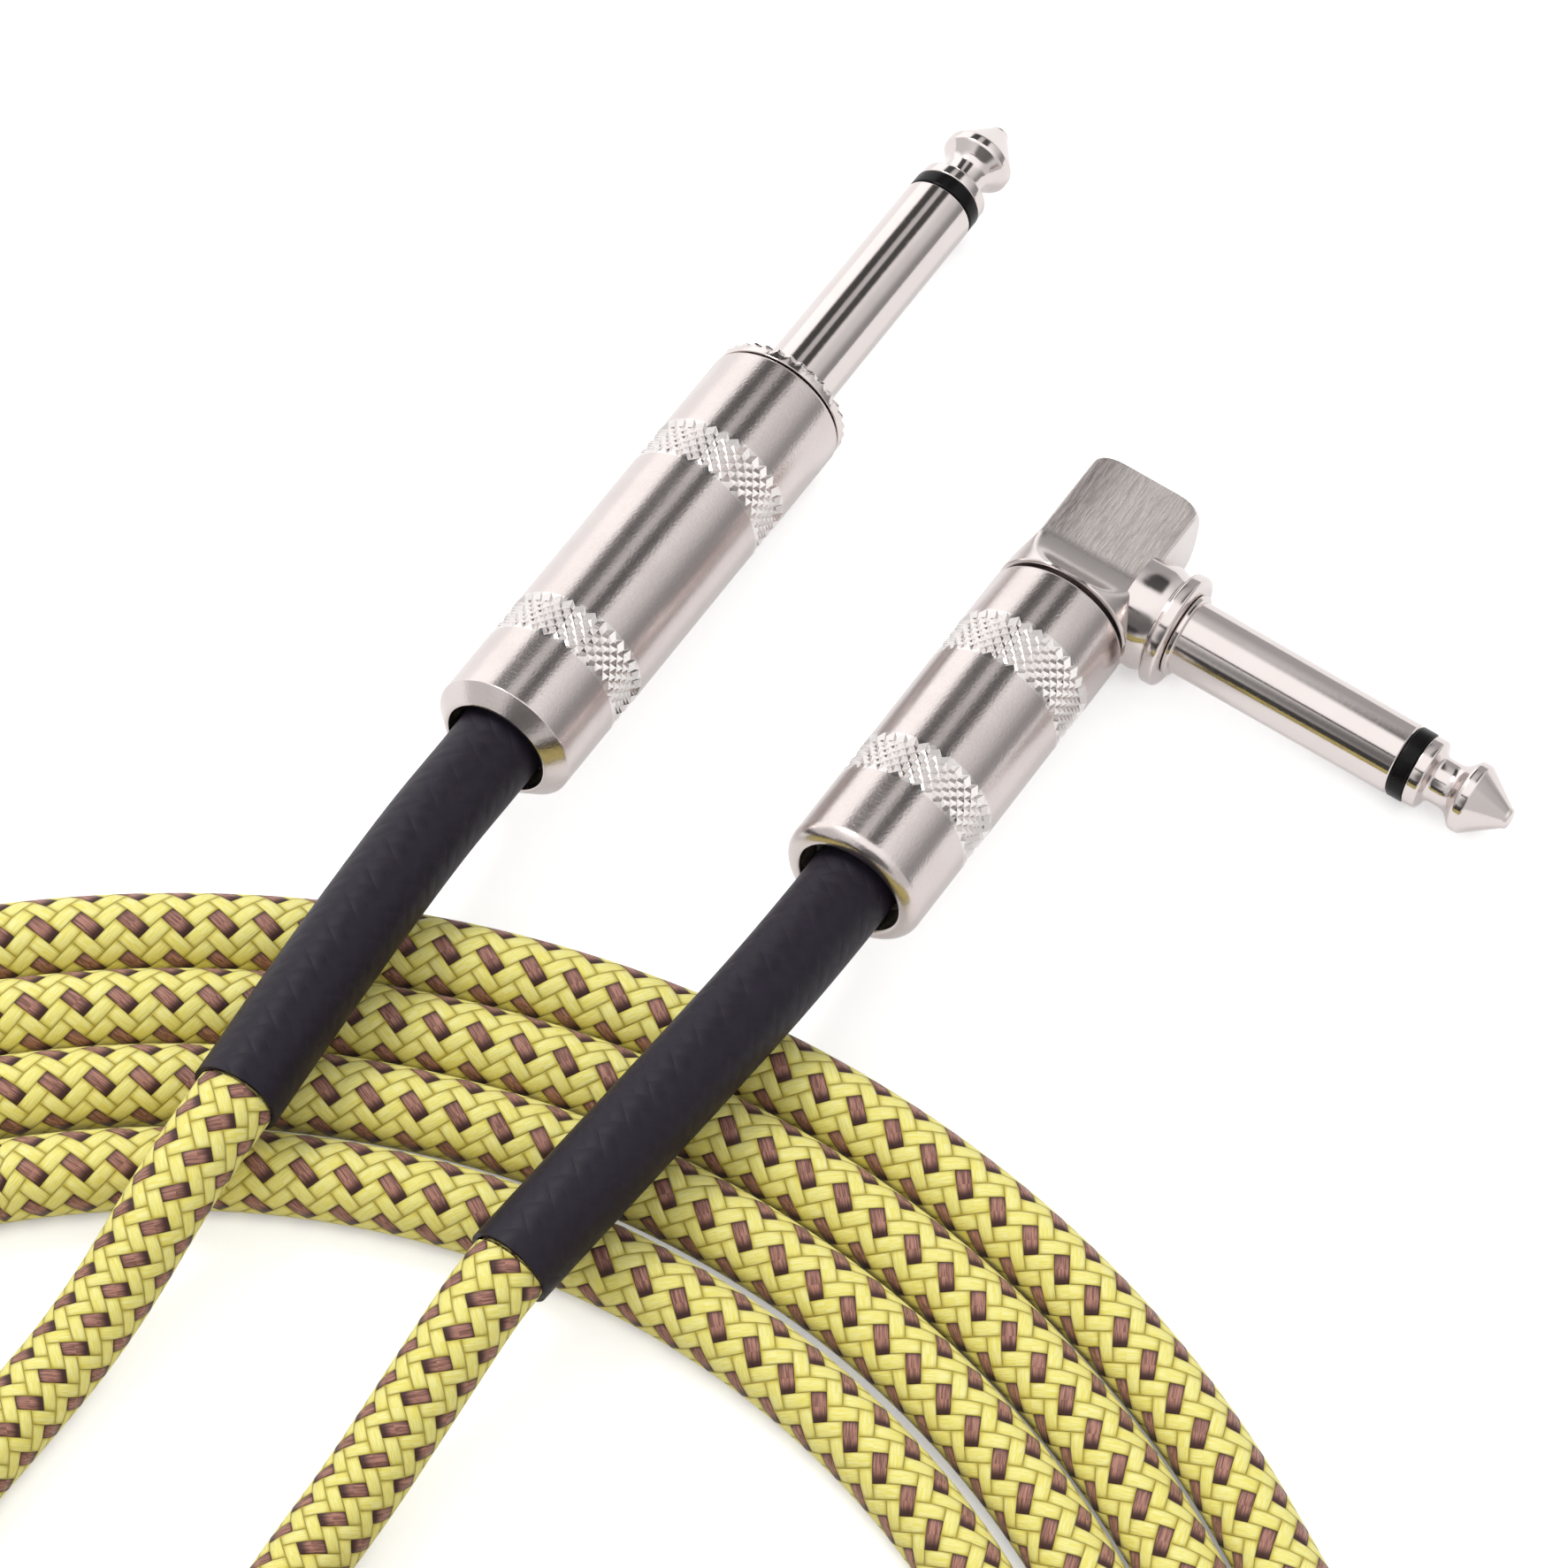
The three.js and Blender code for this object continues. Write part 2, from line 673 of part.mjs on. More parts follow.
function coilPoints() {
  const points = [
    new THREE.Vector3(...coilStart, floorLane),
    new THREE.Vector3(coilStart[0], coilStart[1] - cordDiameter, floorLane),
  ];
  laneOffsets.forEach((offset, loop) => points.push(...coilLoop(loop, loop === laneOffsets.length - 1)));
  const lastLeft = coilStart[0] - lanePitch * (laneOffsets.length - 1) - lastLanePitch;
  const turnCentre = [lastLeft + cornerRadius, entryY + cornerRadius];
  points.push(...floorArc(turnCentre, cornerRadius, 180, 270, 5, raisedLane, raisedLane));
  points.push(new THREE.Vector3(coilEnd, entryY, raisedLane));
  return points;
}

function ovalPoints() {
  const points = [new THREE.Vector3(ovalLeft - cordDiameter, entryY, raisedLane)];
  const count = Math.round(ovalTurns * ovalSteps);
  for (let i = 0; i <= count; i++) points.push(ovalPoint(i / ovalSteps));
  const end = points[points.length - 1];
  const angle = radians(270 - 540 * (ovalTurns - Math.floor(ovalTurns) - 2 / 3) - 90);
  points.push(
    new THREE.Vector3(end.x + ovalRunOut * Math.cos(angle), end.y + ovalRunOut * Math.sin(angle), end.z),
  );
  return points;
}

// A six-sided tube with a ring at each point and a corner of its section turned down.
function woundTube(points, sides = 6) {
  const radius = cordDiameter / 2;
  const positions = [];
  const index = [];
  const up = new THREE.Vector3(0, 0, 1);
  points.forEach((point, i) => {
    const before = points[Math.max(i - 1, 0)];
    const after = points[Math.min(i + 1, points.length - 1)];
    const forward = after.clone().sub(before).normalize();
    const side = new THREE.Vector3().crossVectors(forward, up).normalize();
    const top = new THREE.Vector3().crossVectors(side, forward);
    for (let k = 0; k < sides; k++) {
      const angle = (2 * Math.PI * k) / sides - Math.PI / 2;
      const corner = point.clone();
      corner.addScaledVector(side, radius * Math.cos(angle));
      corner.addScaledVector(top, radius * Math.sin(angle));
      positions.push(corner.x, corner.y, corner.z);
    }
  });
  const ringCount = points.length;
  for (let i = 0; i < ringCount - 1; i++) {
    for (let k = 0; k < sides; k++) {
      const a = i * sides + k;
      const b = i * sides + ((k + 1) % sides);
      index.push(b, a, a + sides, b + sides, b, a + sides);
    }
  }
  const lastRing = (ringCount - 1) * sides;
  for (let k = 1; k < sides - 1; k++) {
    index.push(0, k, k + 1);
    index.push(lastRing, lastRing + k + 1, lastRing + k);
  }
  const geometry = new THREE.BufferGeometry();
  geometry.setAttribute("position", new THREE.Float32BufferAttribute(positions, 3));
  geometry.setIndex(index);
  geometry.computeVertexNormals();
  return geometry;
}

// Drops a share of a route at each end, so that it stops a gap short of its neighbours.
function shortened(points, start, end) {
  const curve = smooth(points);
  const length = curve.getLength();
  return stretch(curve, start / length, 1 - end / length, 4 * points.length);
}

function addCord(layout, straight, angled) {
  const vector = (point) => new THREE.Vector3(...point);
  const coil = coilPoints();
  const oval = ovalPoints();
  const straightEnd = straight.curve.getPointAt(1);
  const angledEnd = angled.curve.getPointAt(1);
  const straightAim = straight.curve.getTangentAt(1);
  const angledAim = angled.curve.getTangentAt(1);
  const leadPoints = [
    straightEnd,
    straightEnd.clone().addScaledVector(straightAim, 1.5),
    ...straightLeadRoute.map(vector),
    coil[0],
  ];
  const tailPoints = [
    oval[oval.length - 1],
    ...angledLeadRoute.map(vector),
    angledEnd.clone().addScaledVector(angledAim, 1.5),
    angledEnd,
  ];
  const crossing = new THREE.LineCurve3(
    new THREE.Vector3(coilEnd + gap, entryY, raisedLane),
    new THREE.Vector3(ovalLeft - cordDiameter - gap, entryY, raisedLane),
  );
  const radius = cordDiameter / 2;
  layout.add(
    mesh("cord_straight_lead", swept(shortened(leadPoints, gap, gap), radius, 26, 0, cordSides), braidLook),
    mesh("cord_coil", woundTube(coil), braidLook),
    mesh("cord_crossing", swept(crossing, radius, 2, 0, cordSides), braidLook),
    mesh("cord_inner_coil", woundTube(oval), braidLook),
    mesh("cord_angled_lead", swept(shortened(tailPoints, gap, gap), radius, 18, 0, cordSides), braidLook),
  );
  report([leadPoints, coil, oval, tailPoints]);
}

// Prints the cord's length between the boots and its least gap to itself, from points 1.5 mm apart.
function report(stretches) {
  const route = [];
  stretches.forEach((points, i) => {
    const wound = i === 1 || i === 2;
    const path = wound ? new THREE.CurvePath() : smooth(points);
    if (wound) points.slice(1).forEach((point, k) => path.add(new THREE.LineCurve3(points[k], point)));
    const count = Math.ceil(path.getLength() / 1.5);
    route.push(...path.getSpacedPoints(count));
  });
  const along = [0];
  for (let i = 1; i < route.length; i++) along.push(along[i - 1] + route[i].distanceTo(route[i - 1]));
  let least = Infinity;
  let where = route[0];
  for (let i = 0; i < route.length; i++) {
    for (let j = i + 1; j < route.length; j++) {
      if (along[j] - along[i] < 4 * cordDiameter) continue;
      const distance = route[i].distanceTo(route[j]);
      if (distance < least) {
        least = distance;
        where = route[i];
      }
    }
  }
  const place = where.toArray().map((value) => value.toFixed(1)).join(", ");
  console.log(`cord ${along[along.length - 1].toFixed(0)} mm between the boots`);
  console.log(`least gap of the cord to itself ${(least - cordDiameter).toFixed(2)} mm, at ${place}`);
}

// --- The whole cable ---

const layout = new THREE.Group();
layout.position.set(-layoutCentre[0], -layoutCentre[1], 0);
const straight = straightPlug();
const angled = angledPlug();
layout.add(straight.plug, angled.plug);
addBoot(layout, "straight", straight.curve);
addBoot(layout, "angled", angled.curve);
addCord(layout, straight, angled);

const cable = new THREE.Group();
cable.add(layout);
export default cable;
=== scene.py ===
# %% [markdown]
# # An instrument cable with a straight and a right-angle plug
# This script dresses a imported CAD model in Blender. The cable has two nickel plugs whose barrels
# unscrew, two black boots, and about 2.7 m of braided cord that lies coiled between them.
# The model is loaded first. It is a fixed frame: new pieces go where its solids are.

# %% Load the model and count its nodes
from math import acos, ceil, cos, degrees, pi, radians, sin, tan

import bmesh
import bpy
import numpy as np
from mathutils import Euler, Matrix, Vector


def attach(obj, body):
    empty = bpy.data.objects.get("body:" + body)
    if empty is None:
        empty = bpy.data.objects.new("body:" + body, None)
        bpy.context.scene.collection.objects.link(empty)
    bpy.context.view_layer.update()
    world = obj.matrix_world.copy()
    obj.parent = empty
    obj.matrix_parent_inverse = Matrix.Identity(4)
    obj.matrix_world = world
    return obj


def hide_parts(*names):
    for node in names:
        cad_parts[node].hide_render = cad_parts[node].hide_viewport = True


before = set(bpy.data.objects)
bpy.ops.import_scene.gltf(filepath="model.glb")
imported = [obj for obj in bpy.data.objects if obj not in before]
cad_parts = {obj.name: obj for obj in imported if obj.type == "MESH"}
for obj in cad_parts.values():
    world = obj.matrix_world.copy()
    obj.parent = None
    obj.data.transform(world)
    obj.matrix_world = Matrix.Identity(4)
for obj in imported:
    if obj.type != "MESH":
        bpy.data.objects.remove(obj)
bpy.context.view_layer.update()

print("nodes in the model:", len(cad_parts))

# %% [markdown]
# ## Units and places
# The sizes below are in millimetres, as on a drawing, and Blender works in metres, so every
# point passes through one function. It also moves the layout so that its middle is the origin.

# %% Millimetres to metres
MM = 0.001
LAYOUT_CENTRE = Vector((6.263, 4.655, 0))


def place(point):
    return (Vector(point) - LAYOUT_CENTRE) * MM


def plug_frame(at, yaw, pitch, roll):
    """Turns a plug's own frame, whose X axis is its barrel, to its place in the layout."""
    turn = Euler((radians(roll), radians(pitch), radians(yaw)), "XYZ").to_matrix().to_4x4()
    return Matrix.Translation(Vector(at)) @ turn


STRAIGHT = plug_frame((1.62, 36.27, 5.75), yaw=57.68, pitch=4.1, roll=0)
ANGLED = plug_frame((24.53, 15.68, 6.0), yaw=57.84, pitch=3.9, roll=4.1)
print("straight plug points along", [round(v, 3) for v in STRAIGHT.col[0][:3]])

# %% [markdown]
# ## Camera
# The photograph is a close-up from well above, about 57 degrees over the table, with a long lens
# that keeps the two barrels nearly parallel. A long lens at 0.85 m does the same here.

# %% Make the camera
CAMERA_ELEVATION = 57
CAMERA_DISTANCE = 0.85
LENS, SENSOR = 243.5, 36
target = place((0, 0, 0))
back_off = Vector((0, -cos(radians(CAMERA_ELEVATION)), sin(radians(CAMERA_ELEVATION))))
camera = bpy.data.objects.new("camera", bpy.data.cameras.new("camera"))
camera.data.lens, camera.data.sensor_width = LENS, SENSOR
camera.location = target + back_off * CAMERA_DISTANCE
camera.rotation_euler = (radians(90 - CAMERA_ELEVATION), 0, 0)
bpy.context.scene.collection.objects.link(camera)
bpy.context.scene.camera = camera
print("camera at", [round(v, 3) for v in camera.location])

# %% [markdown]
# ## The cord's route
# A cord has one fixed length, so its route comes before its look. It leaves the straight plug's
# boot, comes down to the table, runs four times round a wide loop, crosses into the loop, winds
# in and out as an oval coil of two layers, and climbs to the other boot. Loose stretches are one
# smooth curve through a few points, and the coil is made of arcs and straight runs.

# %% A smooth line through a few points
CORD_STEP = 1.5


def smooth_line(points, step=CORD_STEP):
    """Points about a step apart on a curve that passes through all of the given points."""
    known = [Vector(p) for p in points]
    known = [2 * known[0] - known[1], *known, 2 * known[-1] - known[-2]]
    line = []
    for before, start, end, after in zip(known, known[1:], known[2:], known[3:]):
        sides = ((before, start), (start, end), (end, after))
        first, middle, last = [(b - a).length ** 0.5 for a, b in sides]
        leave = (start - before) / first - (end - before) / (first + middle) + (end - start) / middle
        arrive = (end - start) / middle - (after - start) / (middle + last) + (after - end) / last
        count = max(2, ceil((end - start).length / step))
        for i in range(count):
            t = i / count
            line.append(
                start * (2 * t**3 - 3 * t**2 + 1) + leave * middle * (t**3 - 2 * t**2 + t)
                + end * (3 * t**2 - 2 * t**3) + arrive * middle * (t**3 - t**2)
            )
    return line + [known[-2]]


def ease(share):
    """From 0 to 1 with a gentle start and a gentle end."""
    share = min(max(share, 0), 1)
    return share * share * (3 - 2 * share)


# %% Inside the boots: from the clamp, out of the barrel and along the boot's bend
STRAIGHT_REAR, ANGLED_REAR = -46, -36.77  # the barrels' rear ends, on their own axes
STRAIGHT_CLAMP, ANGLED_CLAMP = -24, -23.52
BOOT_STEP = 0.8
STILL_IN_LINE = 2.5  # the cord keeps to the barrel's axis for this far behind it


def boot_line(plug, clamp, rear, bend):
    """From the clamp back along the barrel's axis, and then through the points of the bend."""
    inside = (clamp, (clamp + rear) / 2, rear, rear - STILL_IN_LINE)
    return smooth_line([plug @ Vector((x, 0, 0)) for x in inside] + list(bend), BOOT_STEP)


straight_boot_line = boot_line(STRAIGHT, STRAIGHT_CLAMP, STRAIGHT_REAR, [
    (-28, -10.9, 10.25), (-32.9, -19.2, 10.65), (-38, -28, 10.7), (-42.5, -35.9, 10.6),
])
angled_boot_line = boot_line(ANGLED, ANGLED_CLAMP, ANGLED_REAR, [
    (-0.9, -24.6, 9.75), (-6.6, -32.6, 10.6), (-13.6, -41.6, 10.7), (-21.1, -50.8, 10.1),
])
boot_lines = {"straight": straight_boot_line, "angled": angled_boot_line}


def end_and_aim(line):
    """A line's last point, and the direction in which it gets there."""
    return line[-1], (line[-1] - line[-2]).normalized()


# %% Heights of the lanes on the table, and the lead that comes down to them
CORD_DIAMETER = 6.5
LANE_PITCH = 7
LAYER_PITCH = 6.95
FLOOR_LANE = CORD_DIAMETER / 2 + 0.01
RAISED_LANE = FLOOR_LANE + LAYER_PITCH
BOOT_RUN_OUT = 1.5  # how far the cord still points the way that its boot does

COIL_START = Vector((-74, -95.3, FLOOR_LANE))
straight_end, straight_aim = end_and_aim(straight_boot_line)
straight_lead = smooth_line([
    straight_end, straight_end + BOOT_RUN_OUT * straight_aim, (-44.7, -39.5, 10.3), (-47.6, -44, 8.8),
    (-51, -49.2, 6.1), (-55, -54.9, 4.1), (-60.3, -61.9, 3.3), (-66, -70, FLOOR_LANE),
    (-70.4, -78.6, FLOOR_LANE), (-73, -86.8, FLOOR_LANE), (-74, -92.3, FLOOR_LANE), COIL_START,
])
print("straight lead:", len(straight_lead), "points")

# %% [markdown]
# ## Four wide loops
# Each loop goes down the left side, round two bottom corners, up the right side, over a round top
# and into the next lane. Most lanes lie side by side on the table. One bottom lane lies in the
# groove between two others, and the last corner climbs to the upper layer. Points placed by hand
# would wander, so each turn is a chain of arcs and the straight runs between them, and the next
# turn is the same chain with its lanes moved over.

# %% Arcs on the table
def floor_arc(centre, radius, start, end, low, high):
    """Points of an arc between two angles in degrees, whose height eases from low to high."""
    count = ceil(abs(radians(end - start)) * radius / CORD_STEP)
    for i in range(count + 1):
        angle = radians(start + (end - start) * i / count)
        height = low + (high - low) * ease(i / count)
        yield Vector((centre[0] + radius * cos(angle), centre[1] + radius * sin(angle), height))


# %% The loops of the coil
TOP_CENTRE = (-47.9, -108.9)
TOP_RADIUS = 71.1
TOP_LEFT_EDGE = -63
RIGHT_SIDE = 31
RIGHT_LEAN = radians(25)
RIGHT_BEND = 40
CORNER = 26
LAST_LANE_PITCH = 5  # the last pass on the left climbs and leans on its neighbour
LANE_OFFSETS = (0, 7.6, 14.6, 21.6)
BOTTOM_LANES = (-145.8, -152.8, -149.3, -159.8)
BOTTOM_HEIGHTS = (FLOOR_LANE, FLOOR_LANE, RAISED_LANE, FLOOR_LANE)


def coil_loop(loop):
    """One loop, counterclockwise from the foot of its left side to the next lane."""
    last = loop == len(LANE_OFFSETS) - 1
    bottom, height = BOTTOM_LANES[loop] + CORNER, BOTTOM_HEIGHTS[loop]
    left = COIL_START.x - LANE_PITCH * loop
    next_left = left - (LAST_LANE_PITCH if last else LANE_PITCH)
    next_height = RAISED_LANE if last else FLOOR_LANE
    right, radius = RIGHT_SIDE + LANE_OFFSETS[loop], TOP_RADIUS + LANE_OFFSETS[loop]

    # The right side bends inwards, where it would meet the line that touches the round top.
    knee = TOP_CENTRE[1] + radius * sin(RIGHT_LEAN)
    knee -= (right - TOP_CENTRE[0] - radius * cos(RIGHT_LEAN)) / tan(RIGHT_LEAN)
    bend_centre = (right - RIGHT_BEND, knee - RIGHT_BEND * tan(RIGHT_LEAN / 2))

    # The round top ends at its left edge, and a straight run slopes down to the next corner.
    top_end = acos((TOP_LEFT_EDGE - TOP_CENTRE[0]) / radius)
    slope = top_end - pi / 2
    run = (TOP_LEFT_EDGE - next_left - CORNER * (1 - sin(slope))) / cos(slope)
    edge = TOP_CENTRE[1] + radius * sin(top_end)
    corner_centre = (next_left + CORNER, edge - run * sin(slope) - CORNER * cos(slope))

    yield from floor_arc((left + CORNER, bottom), CORNER, 180, 270, height, height)
    yield from floor_arc((right - CORNER, bottom), CORNER, 270, 360, height, height)
    yield from floor_arc(bend_centre, RIGHT_BEND, 0, degrees(RIGHT_LEAN), height, FLOOR_LANE)
    yield from floor_arc(TOP_CENTRE, radius, degrees(RIGHT_LEAN), degrees(top_end), FLOOR_LANE, FLOOR_LANE)
    yield from floor_arc(corner_centre, CORNER, degrees(top_end), 180, FLOOR_LANE, next_height)
    if not last:
        yield Vector((next_left, COIL_START.y, FLOOR_LANE))


# %% Wind the loops and turn in to the oval
OVAL_MIDDLE, OVAL_RADIUS = -112.35, 28.5
oval_top = OVAL_MIDDLE + OVAL_RADIUS

coil = [COIL_START, COIL_START - Vector((0, CORD_DIAMETER, 0))]
for loop in range(len(LANE_OFFSETS)):
    coil += coil_loop(loop)
last_left = COIL_START.x - LANE_PITCH * (len(LANE_OFFSETS) - 1) - LAST_LANE_PITCH
turn_in = (last_left + CORNER, oval_top + CORNER)
coil += floor_arc(turn_in, CORNER, 180, 270, RAISED_LANE, RAISED_LANE)
print("wide coil:", len(coil), "points")

# %% [markdown]
# ## The oval coil
# The spare length lies inside the wide loops. It winds inward on the upper layer, drops to the
# table at the middle of its turns, and winds outward below, as a neat person lays a cable down.
# A turn is a straight run and a half-round fold, and then the same again the other way round.
# One formula gives the point after any number of turns, and counts its radius from the nearer
# end of the winding, so that both layers are equally wide.

# %% Wind the oval
OVAL_LEFT, OVAL_RIGHT, OVAL_PITCH = -39.2, -5, 7.15
OVAL_TURNS, OVAL_STEPS = 4 - 1 / 24, 96
RUN_SHARE, FOLD_SHARE = 1 / 6, 1 / 3  # how much of a turn each run and each fold takes


def oval_point(turns):
    """A point of the oval, counted clockwise from the left end of its upper run."""
    radius = OVAL_RADIUS - OVAL_PITCH * min(turns, OVAL_TURNS - turns)
    height = RAISED_LANE - LAYER_PITCH * ease((turns - OVAL_TURNS / 2) * 2 + 0.5)
    way = 1 if turns % 1 < 1 / 2 else -1
    share, half_run = turns % (1 / 2), (OVAL_RIGHT - OVAL_LEFT) / 2
    if share < RUN_SHARE:
        x, y = half_run * (2 * share / RUN_SHARE - 1), radius
    else:
        angle = pi / 2 - pi * (share - RUN_SHARE) / FOLD_SHARE
        x, y = half_run + radius * cos(angle), radius * sin(angle)
    return Vector(((OVAL_LEFT + OVAL_RIGHT) / 2 + way * x, OVAL_MIDDLE + way * y, height))


oval = [oval_point(i / OVAL_STEPS) for i in range(round(OVAL_TURNS * OVAL_STEPS) + 1)]
print("oval coil:", len(oval), "points")

# %% The lead from the oval up to the angled plug's boot
OVAL_RUN_OUT = 3
leaving = pi * (1 - OVAL_TURNS % 1) / FOLD_SHARE  # the cord's heading at the end of the last fold
angled_end, angled_aim = end_and_aim(angled_boot_line)
angled_lead = smooth_line([
    oval[-1] + OVAL_RUN_OUT * Vector((cos(leaving), sin(leaving), 0)), (-45.5, -84.1, FLOOR_LANE),
    (-42.5, -81.9, FLOOR_LANE), (-39.8, -78.5, FLOOR_LANE), (-36.8, -73.4, 3.4), (-32.9, -67.8, 4.4),
    (-28.7, -61.7, 6.6), (-24.6, -55.7, 8.9), angled_end + BOOT_RUN_OUT * angled_aim, angled_end,
])
print("angled lead:", len(angled_lead), "points")

# %% Join the stretches and space the points evenly
SAME_POINT = 1e-4


def strides(line):
    """The distance from each point to the next."""
    return np.linalg.norm(np.diff(line, axis=0), axis=1)


def evenly(points, step):
    """The same line with its points the same distance apart, and how far along each one is."""
    line = np.array([tuple(p) for p in points])
    line = line[np.r_[True, strides(line) > SAME_POINT]]
    along = np.r_[0, np.cumsum(strides(line))]
    marks = np.linspace(0, along[-1], ceil(along[-1] / step) + 1)
    return np.column_stack([np.interp(marks, along, line[:, k]) for k in range(3)]), marks


def relaxed(line, passes):
    """The same line with small kinks eased out, its ends kept."""
    for _ in range(passes):
        line[1:-1] = line[1:-1] / 2 + (line[:-2] + line[2:]) / 4
    return line


cord_line, cord_marks = evenly([*straight_lead, *coil, *oval, *angled_lead], CORD_STEP)
cord_line = relaxed(cord_line, passes=3)
cord_length = float(strides(cord_line).sum())
print(f"free cord: {cord_length:.0f} mm, {len(cord_line)} points")

# %% [markdown]
# ## Shader maths
# A procedural material is arithmetic on the surface's coordinates. One small class wraps the
# output of a node, so that `a * b + 1` adds the Math nodes that it says. A second class holds a
# node tree while it is built, and a third is the tree of a material.

# %% Outputs that take part in arithmetic
class Value:
    """An output of a node. Python's operators on it add Math nodes."""

    def __init__(self, graph, socket):
        self.graph, self.socket = graph, socket

    def __add__(self, other):
        return self.graph.math("ADD", self, other)

    def __sub__(self, other):
        return self.graph.math("SUBTRACT", self, other)

    def __mul__(self, other):
        return self.graph.math("MULTIPLY", self, other)

    def __truediv__(self, other):
        return self.graph.math("DIVIDE", self, other)

    def __mod__(self, other):
        return self.graph.math("FLOORED_MODULO", self, other)

    def __pow__(self, other):
        return self.graph.math("POWER", self, other)

    def __lt__(self, other):
        return self.graph.math("LESS_THAN", self, other)

    def __rsub__(self, other):
        return self.graph.math("SUBTRACT", other, self)

    __radd__ = __add__
    __rmul__ = __mul__


# %% A node tree while it is built
class Graph:
    """A node tree, with one method for any node and short names for the common ones."""

    def __init__(self, owner, shader):
        owner.use_nodes = True
        self.tree = owner.node_tree
        self.shader = self.tree.nodes[shader]

    def node(self, kind, settings=(), inputs=(), output=0):
        """A new node with its settings and inputs, and its output as a Value."""
        made = self.tree.nodes.new(kind)
        for key, setting in dict(settings).items():
            setattr(made, key, setting)
        for key, value in dict(inputs).items():
            self.fill(made.inputs[key], value)
        return Value(self, made.outputs[output])

    def fill(self, socket, value):
        if isinstance(value, Value):
            self.tree.links.new(value.socket, socket)
        else:
            socket.default_value = value

    def shade(self, **values):
        """Fills the shader's sockets by name, with underscores for spaces."""
        for name, value in values.items():
            self.fill(self.shader.inputs[name.replace("_", " ")], value)

    def math(self, operation, *values):
        return self.node("ShaderNodeMath", {"operation": operation}, enumerate(values))

    def floor(self, value):
        return self.math("FLOOR", value)

    def part(self, value):
        return self.math("FRACT", value)

    def split(self, vector):
        parts = self.node("ShaderNodeSeparateXYZ", (), {0: vector})
        return [Value(self, parts.socket.node.outputs[k]) for k in range(3)]

    def joined(self, x, y, z=0.0):
        return self.node("ShaderNodeCombineXYZ", (), {0: x, 1: y, 2: z})

    def between(self, value, low, high):
        """0 below low, 1 above high, and a smooth step between them."""
        steps = {0: value, 1: low, 2: high}
        return self.node("ShaderNodeMapRange", {"interpolation_type": "SMOOTHSTEP"}, steps)

    def choose(self, share, first, second):
        """The first number where share is 0, the second where it is 1."""
        return self.node("ShaderNodeMix", (), {0: share, 2: first, 3: second})

    def mix(self, share, first, second):
        """The same as choose, for two colours."""
        return self.node("ShaderNodeMix", {"data_type": "RGBA"}, {0: share, 6: first, 7: second}, output=2)

    def spot(self):
        """Object coordinates, in metres from the middle of the layout."""
        return self.node("ShaderNodeTexCoord", output="Object")

    def noise(self, vector, scale, detail=2.0):
        """Noise with scale cells to a metre, or to a unit of a vector that isn't in metres."""
        return self.node("ShaderNodeTexNoise", (), {"Vector": vector, "Scale": scale, "Detail": detail})

    def bump(self, height, distance):
        """A normal that a relief of this depth in metres would have."""
        return self.node("ShaderNodeBump", (), {"Height": height, "Distance": distance})

    def ray(self, kind):
        """1 for rays of a kind, such as Camera or Glossy, and 0 for the others."""
        return self.node("ShaderNodeLightPath", output=f"Is {kind} Ray")


class Finish(Graph):
    """A material. Its constants go straight to the shader's sockets."""

    def __init__(self, name, **constants):
        self.material = bpy.data.materials.new(name)
        super().__init__(self.material, "Principled BSDF")
        self.shade(**constants)


def tint(red, green, blue):
    """A screen colour, 0 to 255, as the linear colour that shaders use."""
    shares = [channel / 255 for channel in (red, green, blue)]
    return (*[s / 12.92 if s <= 0.04045 else ((s + 0.055) / 1.055) ** 2.4 for s in shares], 1.0)


# %% [markdown]
# ## The braid's material
# The cord wears a cotton-like braid of 24 flat ribbons: twelve wind one way and twelve the other,
# and each passes over two and under two. Every second ribbon of one set is brown and the rest are
# yellow. Ribbons that are modelled would take over a million faces, so the weave is a pattern
# with a bump on a plain tube. On the unrolled surface the two sets are the stripes of two slanting
# numbers, and these say which stripe a point is on, how far across it, and how far along the
# stretch where it lies on top.

# %% Weave the braid
RIBBONS = 12
# The shade colours are painted shade, where the ribbons round off and dive under each other.
YELLOW, YELLOW_SHADE, YELLOW_LIGHT = tint(240, 227, 98), tint(192, 174, 60), tint(253, 247, 172)
BROWN, BROWN_SHADE = tint(184, 132, 116), tint(66, 36, 32)


def braid_stripes(finish):
    """Both slanting numbers, and the stripe that each falls in."""
    around, along, _ = finish.split(finish.node("ShaderNodeUVMap"))
    rising, falling = RIBBONS * around - along, RIBBONS * around + along
    return rising, falling, finish.floor(rising), finish.floor(falling)


def braid_height(finish, rising, falling, stripe, other):
    """Whether the rising set is on top, and how far across and along the top ribbon this is."""
    rising_on_top = (other - stripe) % 4 < 2
    across = finish.choose(rising_on_top, finish.part(falling), finish.part(rising))
    over = finish.part((falling - stripe) / 4) * 2
    under = finish.part((rising - other + 3) / 4) * 2
    along = finish.choose(rising_on_top, under, over)
    return rising_on_top, across, along


